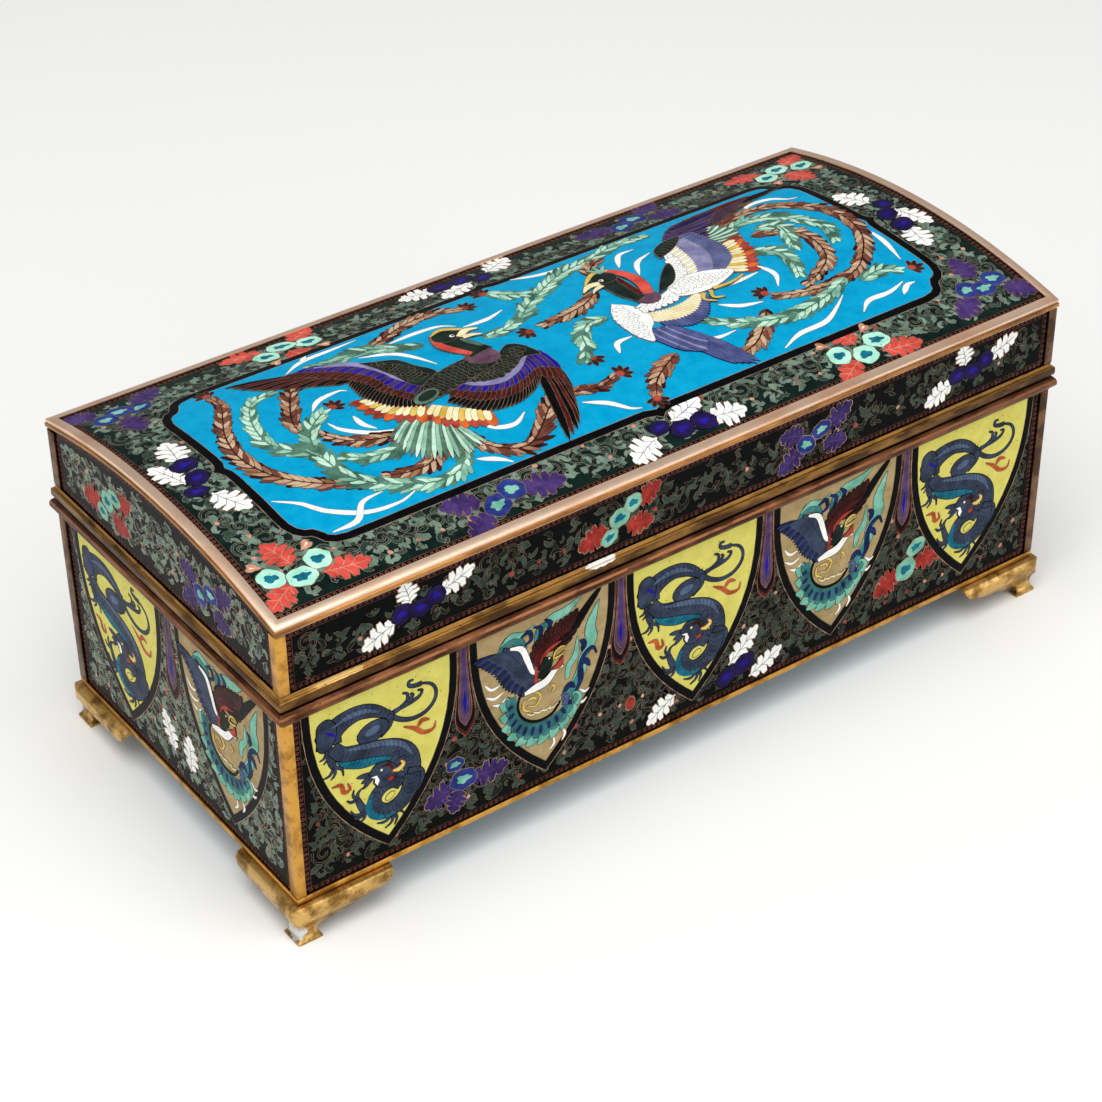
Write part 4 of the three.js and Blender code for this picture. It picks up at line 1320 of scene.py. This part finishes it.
# %% Right bird: body and head
pen.cell("white", spline([(24.6, 0), (30, -1.4), (36, -0.6), (42, -3.4), (50, -4.2), (58, -2), (61.4, 0.8),
                          (54, 5), (47, 5.8), (40, 3), (34, 1), (30, 1.6), (24.6, 0)], 4), 0.2)
scales(pen, [(26, -2), (32, -2.4), (38, -1.8)], [4, 4.4, 4.4], 0.9, "white")
scales(pen, [(59, 0.6), (52, 1), (45, 1), (40, 0)], [2, 6.6, 7.4, 4.6], 1.05, "white")
pen.edge = "wire"
for points in ([(46, -5), (44, -8), (46.6, -10.6)], [(48.6, -5), (47, -8.6), (50, -10)],
               [(50, -4.6), (56, -5), (62, -3.6)]):
    pen.stroke("gold", points, [1.4, 0.9, 0.5], 9, 0.12)
pen.cell("mauve", disc((31.4, 2.4), 3.8, 14, 0.9), 0.18)
pen.stroke("red", [(33, 4.6), (35, 10), (35.4, 16), (33.4, 22), (31, 24.6)], [3.4, 3.6, 3.4, 2.8, 1], 18,
           0.18)
pen.stroke("forest", [(29.6, 3.4), (27.8, 9), (27.6, 15), (28.6, 20.6)], [4, 4.6, 5, 5.4], 16, 0.18)
pen.stroke("maroon", [(31, 5.4), (31.2, 11), (31.6, 18)], [1.6, 1.8, 1], 10, 0.1)
pen.cell("forest", disc((28.6, 20.6), 4.1, 16, 0.86, -14), 0.18)
pen.stroke("gold", [(32.6, 24), (28, 25), (24, 22.4), (21.4, 20)], [0.5, 1.5, 1.4, 0.4], 12, 0.12)
pen.stroke("cream", [(25.6, 18.4), (22, 19), (18.4, 16.6)], [2.4, 2.3, 0.4], 10, 0.14)
pen.stroke("cream", [(25.4, 17), (22, 15.8), (20.4, 14.4)], [1.8, 1.4, 0.3], 9, 0.14)
pen.cell("white", disc((27, 19.6), 0.75, 9), 0.14)
pen.cell("black", disc((26.8, 19.6), 0.45, 7), 0)
for tip in ((34, 27.6), (31, 29), (28, 28.4)):
    pen.cell("mint", blade((30, 23.6), tip, 1.2, 0.3), 0.12)
report("right bird")

# %% [markdown]
# ## From plates to pieces
# The plates of one colour become one mesh. On the curved lid the large plates are first cut
# into strips across the curve, while they are still flat, so that they bend with the dome and
# every layer bends at the same lines. The tiny leaves of the scroll need no cut.

# %% Plates to meshes
MANY_CORNERS = 12  # a face with more corners than this is cut into triangles before it is bent


def prism(outline, lift):
    """Points and faces of one plate, in flat coordinates. It is open below, inside the wall."""
    count = len(outline)
    top = np.column_stack([outline, np.full(count, lift)])
    low = np.column_stack([outline, np.full(count, -SUNK)])
    faces = [list(range(count))]
    for k in range(count):
        n = (k + 1) % count
        faces.append([count + k, count + n, n, k])
    return np.vstack([top, low]), faces


def plates_to_mesh(name, plates):
    points, faces, start = [], [], 0
    for face, outline, lift in plates:
        flat, own = prism(outline, lift)
        points.append(face(flat[:, 0], flat[:, 1], flat[:, 2]))
        faces += [[start + i for i in one] for one in own]
        start += len(flat)
    mesh = bpy.data.meshes.new(name)
    coordinates = np.vstack(points) * MM if points else np.zeros((0, 3))
    mesh.from_pydata(coordinates.tolist(), [], faces)
    return mesh


def unbent(x, y, z):
    """The place of a point of the lid while its plate is still flat."""
    return np.stack([x, y, z], axis=-1)


def cut_over_dome(bm, plates):
    """Adds the large plates of the lid, cut into strips that follow the curve."""
    flat_mesh = plates_to_mesh("flat", [(unbent, outline, lift) for _, outline, lift in plates])
    flat = bmesh.new()
    flat.from_mesh(flat_mesh)
    bpy.data.meshes.remove(flat_mesh)
    bmesh.ops.triangulate(flat, faces=[face for face in flat.faces if len(face.verts) > MANY_CORNERS])
    for knot in KNOTS:
        everything = flat.verts[:] + flat.edges[:] + flat.faces[:]
        place = (0, knot * MM, 0)
        bmesh.ops.bisect_plane(flat, geom=everything, plane_co=place, plane_no=(0, 1, 0), dist=1e-9)
    here = np.array([v.co for v in flat.verts]) / MM
    there = on_top(here[:, 0], here[:, 1], here[:, 2]) * MM
    for vertex, place in zip(flat.verts, there):
        vertex.co = place
    bent = bpy.data.meshes.new("bent")
    flat.to_mesh(bent)
    flat.free()
    bm.from_mesh(bent)
    bpy.data.meshes.remove(bent)


def make_piece(part, colour, plates):
    name = f"{part}_{colour}"
    bent, straight = [], []
    for plate in plates:
        is_bent = plate[0] is on_top and not part.endswith("scroll")
        (bent if is_bent else straight).append(plate)
    mesh = plates_to_mesh(name, straight)
    if bent:
        bm = bmesh.new()
        bm.from_mesh(mesh)
        cut_over_dome(bm, bent)
        bm.to_mesh(mesh)
        bm.free()
    piece = bpy.data.objects.new(name, mesh)
    bpy.context.collection.objects.link(piece)
    return piece


def smooth(piece, degrees=30):
    bpy.ops.object.select_all(action="DESELECT")
    piece.select_set(True)
    bpy.context.view_layer.objects.active = piece
    bpy.ops.object.shade_smooth_by_angle(angle=math.radians(degrees))


pieces = {}
triangles = 0
for (part, colour), plates in store.items():
    piece = make_piece(part, colour, plates)
    smooth(piece)
    pieces[part, colour] = piece
    triangles += sum(len(p.vertices) - 2 for p in piece.data.polygons)
print(len(pieces), "enamel and wire pieces,", triangles, "triangles")

# %% [markdown]
# ## Brass mouldings, strips and feet
# The brass parts have their true shape in the frame already, but their edges are knife sharp.
# A real moulding has been filed and polished by hand, so each one is copied, its loose
# triangles are joined, its flat faces made whole, and its edges are rounded with a bevel.

# %% Softened copies of the brass
SHARP = math.radians(28)  # edges that turn more than this are rounded


def softened(names, width, new_name):
    """One copy of these parts, with edges rounded to this many millimetres, in their place."""
    copies = []
    for name in names:
        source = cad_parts[name]
        copy = bpy.data.objects.new(new_name, source.data.copy())
        bpy.context.collection.objects.link(copy)
        copies.append(copy)
    bpy.ops.object.select_all(action="DESELECT")
    for copy in copies:
        copy.select_set(True)
    piece = copies[0]
    bpy.context.view_layer.objects.active = piece
    if len(copies) > 1:
        bpy.ops.object.join()
    bpy.ops.object.mode_set(mode="EDIT")
    bpy.ops.mesh.select_all(action="SELECT")
    bpy.ops.mesh.remove_doubles(threshold=0.00001)
    bpy.ops.mesh.dissolve_limited(angle_limit=math.radians(1))
    bpy.ops.object.mode_set(mode="OBJECT")
    bevel = piece.modifiers.new("rounded edges", "BEVEL")
    bevel.width = width * MM
    bevel.segments = 2
    bevel.limit_method = "ANGLE"
    bevel.angle_limit = SHARP
    bpy.ops.object.modifier_apply(modifier=bevel.name)
    piece.name = new_name
    smooth(piece, 38)
    for name in names:
        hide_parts(name)
    return piece


# %% The bead under the edging
BELOW_EDGE = 0.8


def lip():
    """A rounded bead swept round the lid just under the edging, and mitred at the corners."""
    bead = [(0.15, 0.2), (0.85, 0.1), (1.0, -0.1), (1.02, -0.9), (0.9, -1.15), (0.6, -1.3), (0.15, -1.3)]
    y = np.linspace(HALF_WIDTH, -HALF_WIDTH, 25)
    z = dome(y) - BELOW_EDGE
    ring = [(-HALF_LENGTH, a, b) for a, b in zip(y, z)]
    ring += [(HALF_LENGTH, a, b) for _, a, b in reversed(ring)]
    bm = bmesh.new()
    rows = []
    for px, py, pz in ring:
        side_x = math.copysign(1, px)
        side_y = math.copysign(1, py) if abs(py) > HALF_WIDTH - 0.01 else 0
        places = [Vector((px + side_x * out, py + side_y * out, pz + up)) for out, up in bead]
        rows.append([bm.verts.new(place * MM) for place in places])
    for row, following in zip(rows, rows[1:] + rows[:1]):
        for k in range(len(bead)):
            n = (k + 1) % len(bead)
            bm.faces.new((row[k], following[k], following[n], row[n]))
    bmesh.ops.recalc_face_normals(bm, faces=bm.faces[:])
    mesh = bpy.data.meshes.new("edging_lip")
    bm.to_mesh(mesh)
    bm.free()
    piece = bpy.data.objects.new("edging_lip", mesh)
    bpy.context.collection.objects.link(piece)
    smooth(piece, 50)
    return piece


# %% All brass pieces
ENDS = [f"{depth}_{side}" for depth in ("front", "back") for side in ("left", "right")]
ROUNDED = {"lid_edging": 0.15, "lid_rim": 0.25, "body_rim": 0.25, "base_strip": 0.12}
STRIP_ROUNDED = 0.12
FOOT_ROUNDED = 0.2
brass = {name: softened([name], width, name + "_rounded") for name, width in ROUNDED.items()}
for new_name, ends in (("front", ENDS[:1]), ("other", ENDS[1:])):
    strips = [f"{part}_corner_strip_{end}" for part in ("body", "lid") for end in ends]
    brass[new_name + "_strips"] = softened(strips, STRIP_ROUNDED, new_name + "_corner_strips")
brass["edging_lip"] = lip()
for end in ENDS:
    brass["foot_" + end] = softened([f"foot_{end}"], FOOT_ROUNDED, f"foot_{end}_rounded")
print(len(brass), "brass pieces")

# %% [markdown]
# ## Finishes
# Colours are written as hex and turned to linear light by one function. One small function
# adds a node with its settings and links. Scales are given in millimetres.

# %% Material tools
def linear(code):
    parts = [int(code[k:k + 2], 16) / 255 for k in (1, 3, 5)]
    return [p / 12.92 if p <= 0.04045 else ((p + 0.055) / 1.055) ** 2.4 for p in parts] + [1.0]


def add(tree, kind, inputs=None, **settings):
    made = tree.nodes.new("ShaderNode" + kind)
    for key, value in settings.items():
        setattr(made, key, value)
    for key, value in (inputs or {}).items():
        if isinstance(value, bpy.types.NodeSocket):
            tree.links.new(value, made.inputs[key])
        else:
            made.inputs[key].default_value = value
    return made


def per_mm(size):
    """The scale of a pattern whose grain has this size in millimetres."""
    return 1 / (size * MM)


def blank(name):
    material = bpy.data.materials.new(name)
    material.use_nodes = True
    tree = material.node_tree
    return material, tree, tree.nodes["Principled BSDF"], add(tree, "TexCoord").outputs["Object"]


# %% [markdown]
# Enamel is lead glass, ground and polished. It has clouds where the grains fused unevenly and a
# few open pits, and these are what tell it from paint. Its reflection is kept low, because the
# pale floor mirrored in it would turn the black ground grey.

# %% Enamel
GLASS_IOR = 1.5
GLASS_REFLECTION = 0.025
PIT_COLOUR = "#2A2622"
PIT_SPACING = 2.2
PIT_DEPTH = 0.03


def enamel(name, light, deep, cloud=5.0, gloss=0.16, pitting=0.35):
    material, tree, shader, where = blank(name)
    clouds = add(tree, "TexNoise", {"Vector": where, "Scale": per_mm(cloud), "Detail": 5.0,
                                    "Roughness": 0.65})
    spread = add(tree, "MapRange", {"Value": clouds.outputs["Fac"], "From Min": 0.36, "From Max": 0.64})
    mix = add(tree, "Mix", {"Factor": spread.outputs["Result"]}, data_type="RGBA")
    mix.inputs["A"].default_value = linear(deep)
    mix.inputs["B"].default_value = linear(light)
    pits = add(tree, "TexVoronoi", {"Vector": where, "Scale": per_mm(PIT_SPACING), "Randomness": 1.0})
    hole = add(tree, "MapRange", {"Value": pits.outputs["Distance"], "From Min": 0.05, "From Max": 0.11})
    dark = add(tree, "Mix", {"Factor": hole.outputs["Result"]}, data_type="RGBA")
    dark.inputs["A"].default_value = linear(PIT_COLOUR)
    tree.links.new(mix.outputs["Result"], dark.inputs["B"])
    tree.links.new(dark.outputs["Result"], shader.inputs["Base Color"])
    polish = add(tree, "TexNoise", {"Vector": where, "Scale": per_mm(9), "Detail": 3.0})
    rough = add(tree, "MapRange", {"Value": polish.outputs["Fac"], "To Min": gloss * 0.7,
                                   "To Max": gloss * 1.7})
    tree.links.new(rough.outputs["Result"], shader.inputs["Roughness"])
    wave = add(tree, "TexNoise", {"Vector": where, "Scale": per_mm(1.4), "Detail": 2.0})
    relief = add(tree, "Math", {0: hole.outputs["Result"], 1: wave.outputs["Fac"]}, operation="ADD")
    bump = add(tree, "Bump", {"Strength": pitting, "Distance": PIT_DEPTH * MM,
                              "Height": relief.outputs["Value"]})
    tree.links.new(bump.outputs["Normal"], shader.inputs["Normal"])
    shader.inputs["IOR"].default_value = GLASS_IOR
    shader.inputs["Specular IOR Level"].default_value = GLASS_REFLECTION
    return material


ENAMELS = {
    "ground": ("#0A0E0C", "#050706"), "deep_ground": ("#142723", "#0B1816"),
    # The next two leaf tones are darker copies of the leaf tones, painted shade for the front and back.
    "wall_leaf": ("#404F46", "#29352E"), "wall_deep": ("#1B2822", "#101915"),
    "chestnut": ("#7A4A3C", "#552E26"), "fawn": ("#CBAE8C", "#A5846A"),
    "black": ("#0D0D0F", "#060607"), "leaf": ("#76907F", "#4C6357"),
    "deep_leaf": ("#33493F", "#1C2D26"), "bud": ("#D89E84", "#A86A55"),
    "rust": ("#B5483A", "#7F2A22"), "band": ("#5A2422", "#34110F"),
    "yellow": ("#D8D06C", "#CCC25E"), "tan": ("#B09A70", "#988358"),
    # The red, mint and purple of the walls next are the lid's colours darkened as painted shade.
    "wall_red": ("#A8342E", "#7C241E"), "wall_mint": ("#8CC4AC", "#62A08A"),
    "wall_purple": ("#40306A", "#261A46"), "turquoise": ("#0A9ECA", "#0090BE"),
    "red": ("#DC574C", "#B53C34"), "mint": ("#86C2AC", "#5A9C88"),
    "sea": ("#4A8C86", "#2C6468"), "flame": ("#C0602C", "#8E3C18"),
    "pale_mint": ("#BCEBD4", "#8FD2BA"), "teal": ("#1E7890", "#0E4E62"),
    "purple": ("#4C3872", "#2C1E4C"), "violet": ("#2A1E98", "#181078"),
    "plum": ("#261C4C", "#181036"), "blue": ("#33408C", "#1E2860"),
    "deep_blue": ("#1F2F66", "#121B40"), "celadon": ("#96C4AC", "#6A9C84"),
    "pale_celadon": ("#C6E6D2", "#9CCAB0"), "white": ("#F8F8F4", "#E8E8E2"),
    "grey": ("#8C8C90", "#74747A"), "slate": ("#3C475C", "#262D3C"),
    "slate_light": ("#5A6C86", "#42506A"), "slate_blue": ("#5A6290", "#404874"),
    "maroon": ("#5E201E", "#380F0E"), "orange": ("#DE6A34", "#B4481C"),
    "gold": ("#E0C266", "#C29E40"), "mauve": ("#6A4C60", "#4A3342"),
    "lilac": ("#544070", "#3A2A54"), "brown": ("#46221C", "#280F0C"),
    "umber": ("#B08468", "#84593E"), "cream": ("#F2E8C0", "#E0CE98"),
    "lavender": ("#9290B4", "#6E6C98"), "forest": ("#22302A", "#121B17"),
    "sage": ("#5A8672", "#38584A"), "teal_grey": ("#3C7474", "#255052"),
}
enamel_finish = {
    colour: enamel(f"polished {colour.replace('_', ' ')} enamel", light, deep)
    for colour, (light, deep) in ENAMELS.items()
}
print(len(enamel_finish), "enamels")

# %% [markdown]
# The wires and mouldings are brass. Old brass is bright where hands have rubbed it and brown in
# the hollows, so a soft noise mixes a bright tone with a dark one, and the dull places are
# rougher as well. The feet are cast and gilt, with small dark pits. The seam mouldings are lighter
# along their upper edges, partly rubbed wear and partly painted highlight, and a band of painted
# shadow darkens the groove between them. The corner strips other than the front left one are a
# darker copy of the strip brass, as painted shade. A pale chip on the lid moulding is wear that
# belongs to this box, and one toe carries a pale silvery spot.

# %% Brass
def between(tree, where, low, high):
    """1 for heights from low to high in millimetres, and 0 elsewhere."""
    height = add(tree, "SeparateXYZ", {"Vector": where}).outputs["Z"]
    rise = add(tree, "MapRange", {"Value": height, "From Min": (low - 0.15) * MM, "From Max": low * MM})
    fall = add(tree, "MapRange", {"Value": height, "From Min": (high + 0.15) * MM, "From Max": high * MM})
    both = add(tree, "Math", {0: rise.outputs["Result"], 1: fall.outputs["Result"]}, operation="MULTIPLY")
    return both.outputs["Value"]


def spot(tree, where, centre, reach):
    """1 in a ragged spot round the centre, and 0 elsewhere; both are in millimetres."""
    back = [-c * MM for c in centre]
    near = add(tree, "VectorMath", {0: where, 1: back}, operation="ADD")
    shrink = [1 / (r * MM) for r in reach]
    unit = add(tree, "VectorMath", {0: near.outputs["Vector"], 1: shrink}, operation="MULTIPLY")
    far = add(tree, "VectorMath", {0: unit.outputs["Vector"]}, operation="LENGTH")
    ragged = add(tree, "TexNoise", {"Vector": where, "Scale": per_mm(1.6), "Detail": 4.0})
    edge = add(tree, "Math", {0: far.outputs["Value"], 1: ragged.outputs["Fac"]}, operation="ADD")
    inside = add(tree, "MapRange", {"Value": edge.outputs["Value"], "From Min": 1.5, "From Max": 1.38})
    return inside.outputs["Result"]


def worn_metal(name, bright, dull, patch, share, rough, pit_share=0.0, nick=0.25, drawn_out=1.0,
               edges=(), spots=()):
    """Brass with bright and dull patches, dark pits, height bands of wear, painted highlight and painted
    shade, and spots of another tone.
    """
    material, tree, shader, where = blank(name)
    streaked = add(tree, "Mapping", {"Vector": where, "Scale": (1 / drawn_out, 1 / drawn_out, 1)})
    along = streaked.outputs["Vector"]
    cloud = add(tree, "TexNoise", {"Vector": along, "Scale": per_mm(patch), "Detail": 8.0,
                                   "Roughness": 0.62})
    fade = {"From Min": share - 0.09, "From Max": share + 0.09}
    tarnish = add(tree, "MapRange", {"Value": cloud.outputs["Fac"], **fade})
    mix = add(tree, "Mix", {"Factor": tarnish.outputs["Result"]}, data_type="RGBA")
    mix.inputs["A"].default_value = linear(dull)
    mix.inputs["B"].default_value = linear(bright)
    pits = add(tree, "TexVoronoi", {"Vector": where, "Scale": per_mm(2.6), "Randomness": 1.0})
    edge = {"From Min": pit_share, "From Max": pit_share + 0.07}
    hole = add(tree, "MapRange", {"Value": pits.outputs["Distance"], **edge})
    dark = add(tree, "Mix", {"Factor": hole.outputs["Result"]}, data_type="RGBA")
    dark.inputs["A"].default_value = linear("#4A3018")
    layers = []
    # On the mouldings these bands carry rubbed wear mixed with painted highlight on the upper edges, and a
    # painted shadow in the groove.
    for low, high, colour in edges:
        rubbed = add(tree, "TexNoise", {"Vector": along, "Scale": per_mm(3), "Detail": 5.0})
        fade = {"From Min": 0.4, "From Max": 0.5, "To Min": 0.25}
        worn = add(tree, "MapRange", {"Value": rubbed.outputs["Fac"], **fade}).outputs["Result"]
        mask = add(tree, "Math", {0: between(tree, where, low, high), 1: worn}, operation="MULTIPLY")
        layers.append((mask.outputs["Value"], colour))
    layers += [(spot(tree, where, centre, reach), colour) for centre, reach, colour in spots]
    tone = mix.outputs["Result"]
    for mask, colour in layers:
        layer = add(tree, "Mix", {"Factor": mask}, data_type="RGBA")
        tree.links.new(tone, layer.inputs["A"])
        layer.inputs["B"].default_value = linear(colour)
        tone = layer.outputs["Result"]
    tree.links.new(tone, dark.inputs["B"])
    tree.links.new(dark.outputs["Result"], shader.inputs["Base Color"])
    gloss = add(tree, "MapRange", {"Value": cloud.outputs["Fac"], "To Min": rough * 1.5,
                                   "To Max": rough * 0.6})
    tree.links.new(gloss.outputs["Result"], shader.inputs["Roughness"])
    grain = add(tree, "TexNoise", {"Vector": where, "Scale": per_mm(1.1), "Detail": 4.0})
    relief = add(tree, "Math", {0: hole.outputs["Result"], 1: grain.outputs["Fac"]}, operation="ADD")
    bump = add(tree, "Bump", {"Strength": nick, "Distance": 0.15 * MM, "Height": relief.outputs["Value"]})
    tree.links.new(bump.outputs["Normal"], shader.inputs["Normal"])
    shader.inputs["Metallic"].default_value = 1.0
    return material


# %% Brass of the wires
copper_wire = worn_metal("reddened brass wire", "#B07A5C", "#7A4A38", 3, 0.5, 0.45)
WIRE_FINISH = {
    "wire": worn_metal("drawn brass wire", "#B8977C", "#7C6250", 3, 0.5, 0.45),
    # The pale wire is brass paled by a painted reflection of the bright room.
    "pale_wire": worn_metal("brass wire paled by painted reflection", "#CDBBA8", "#8F7F70", 3, 0.5, 0.45),
    # The dull wire is the inner wire of the shields; on the front and back scroll it is also painted shade.
    "dim_wire": worn_metal("dull brass wire with painted shade", "#86705C", "#54463A", 3, 0.5, 0.5),
    "loop_wire": copper_wire,
    "copper_wire": copper_wire,
    # The dull reddened loop wire is the loop wire darkened as painted shade for the upright faces.
    "dim_loop_wire": worn_metal("reddened wire darkened as painted shade", "#7C4C3A", "#4C2C22", 3, 0.5, 0.5),
}
print(len(WIRE_FINISH), "kinds of wire")

# %% Brass of the mouldings, strips and feet
edging_brass = worn_metal("worn brass edging", "#FCDCC0", "#E4B898", 7, 0.45, 0.42, 0.0, 0.3, 4)
lip_brass = worn_metal("brown brass lip", "#C48A4C", "#865A2E", 8, 0.5, 0.36, 0.0, 0.3, 4)
lid_rim_brass = worn_metal(
    "tarnished golden moulding", "#8E6836", "#4A321C", 5, 0.52, 0.4, 0.04, 0.5, 3,
    # The lighter top fillet is rubbed wear with painted highlight; the near-black band low on the rim is
    # painted shadow in the groove.
    [(LID_FOOT - 1.2, LID_FOOT, "#A87C40"), (LID_FOOT - 4.4, LID_FOOT - 3.8, "#1E120A")],
    [
        ((-34, -HALF_WIDTH - 1, LID_FOOT - 0.7), (5.5, 3, 1.1), "#F2EDE4"),
        ((-118, -HALF_WIDTH - 1, LID_FOOT - 0.7), (9, 3, 0.6), "#D8B878"),
    ],
)
body_rim_brass = worn_metal(
    # The lighter upper edge is rubbed wear with painted highlight; the lowest millimetre is a golden band.
    "tarnished copper-red moulding", "#7E5236", "#44291C", 5, 0.52, 0.4, 0.04, 0.5, 3,
    [(BODY_TOP + 3.0, BODY_TOP + 3.6, "#A06A46"), (BODY_TOP, BODY_TOP + 1.0, "#8A6432")],
)
# The corner strips away from the front left are darker, as painted shade.
shaded_strip = worn_metal("brass strip darkened as painted shade", "#7A5A40", "#4C3628", 6, 0.5, 0.4)
strip_brass = worn_metal("gilt brass strip", "#D29C48", "#94662A", 6, 0.46, 0.34, 0.03, 0.4)
foot_brass = worn_metal("gilt cast brass", "#D6AE68", "#86622E", 5, 0.46, 0.34, 0.05, 0.5)
# The front left foot has a pale silvery spot on its toe.
pale_spot_foot = worn_metal(
    "gilt cast brass with a pale silvery spot", "#D6AE68", "#86622E", 5, 0.46, 0.34, 0.05, 0.5, 1,
    (), [((-HALF_LENGTH - 2, -HALF_WIDTH + 1, 4), (4, 4.6, 3.4), "#DEDEDA")],
)

# %% [markdown]
# The inside and the underside carry a plain counter enamel, which keeps the copper from
# warping in the kiln. It is a mottled grey-blue that nobody was meant to look at.

# %% Counter enamel
counter_enamel = enamel("fired counter enamel", "#3E7F93", "#2C5F74", 3.0, 0.3, 0.8)
for name in ("body", "lid"):
    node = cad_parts[name]
    node.data.materials.clear()
    node.data.materials.append(counter_enamel)
print("counter enamel on the body and the lid")

# %% Finishes on their pieces
for (part, colour), piece in pieces.items():
    metal = colour in WIRE_FINISH
    piece.data.materials.append(WIRE_FINISH[colour] if metal else enamel_finish[colour])
    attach(piece, "root")

BRASS_FINISH = {
    "lid_edging": (edging_brass, "worn_brass"), "edging_lip": (lip_brass, "worn_brass"),
    "lid_rim": (lid_rim_brass, "dark_brass"), "body_rim": (body_rim_brass, "dark_brass"),
    "foot_front_left": (pale_spot_foot, "gilt_brass"),
    "base_strip": (strip_brass, "gilt_brass"), "front_strips": (strip_brass, "gilt_brass"),
    "other_strips": (shaded_strip, "dark_brass"),
}
for name, piece in brass.items():
    finish, slot = BRASS_FINISH.get(name, (foot_brass, "gilt_brass"))
    piece.data.materials.clear()
    piece.data.materials.append(finish)
    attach(piece, "root")
print("finished:", len(pieces), "pieces of enamel and wire, and", len(brass), "of brass")

# %% [markdown]
# ## Floor, light and camera
# The floor is plain and pale. A large soft lamp hangs over the box, two more fill the left and
# front, and the world is a light grey, so the brass has something even to mirror.

# %% Floor
FLOOR_SIZE = 6.0  # metres
bpy.ops.mesh.primitive_plane_add(size=FLOOR_SIZE, location=(0, 0, 0))
floor = bpy.context.active_object
floor.name = "pale_floor"
paper, tree, shader, where = blank("pale matt paper")
tone = add(tree, "TexNoise", {"Vector": where, "Scale": per_mm(400)})
shade = add(tree, "Mix", {"Factor": tone.outputs["Fac"]}, data_type="RGBA")
shade.inputs["A"].default_value = linear("#F4F4F2")
shade.inputs["B"].default_value = linear("#F0F0EE")
tree.links.new(shade.outputs["Result"], shader.inputs["Base Color"])
shader.inputs["Roughness"].default_value = 0.9
floor.data.materials.append(paper)
print("floor:", paper.name)

# %% Lamps and world
def softbox(name, place, target, size, power):
    lamp = bpy.data.lights.new(name, "AREA")
    lamp.size = size
    lamp.energy = power
    holder = bpy.data.objects.new(name, lamp)
    bpy.context.collection.objects.link(holder)
    holder.location = place
    holder.rotation_euler = (Vector(target) - Vector(place)).to_track_quat("-Z", "Y").to_euler()


MIDDLE = (0, 0, 0.05)
WORLD_STRENGTH = 0.38
softbox("over", (-0.4, -0.4, 1.7), MIDDLE, 1.5, 26)
softbox("front", (0.7, -1.6, 0.9), MIDDLE, 1.4, 10)
softbox("left", (-1.7, -0.2, 0.8), MIDDLE, 1.2, 5.5)
world = bpy.data.worlds.new("pale studio")
bpy.context.scene.world = world
world.use_nodes = True
world.node_tree.nodes["Background"].inputs["Color"].default_value = (1, 1, 1, 1)
world.node_tree.nodes["Background"].inputs["Strength"].default_value = WORLD_STRENGTH
print("three soft lamps and the world:", world.name)

# %% Camera
EYE = Vector((-0.4043, -0.5554, 0.5258))
AHEAD = Vector((0.4747, 0.6628, -0.5791))
ROLL = math.radians(-0.74)
lens = bpy.data.cameras.new("studio camera")
lens.lens = 91.2
lens.sensor_width = 36
camera = bpy.data.objects.new("studio camera", lens)
bpy.context.collection.objects.link(camera)
turn = AHEAD.to_track_quat("-Z", "Y").to_matrix() @ Matrix.Rotation(ROLL, 3, "Z")
camera.matrix_world = Matrix.Translation(EYE) @ turn.to_4x4()
bpy.context.scene.camera = camera
bpy.context.scene.view_settings.view_transform = "Standard"

# %% Update the view layer
bpy.context.view_layer.update()
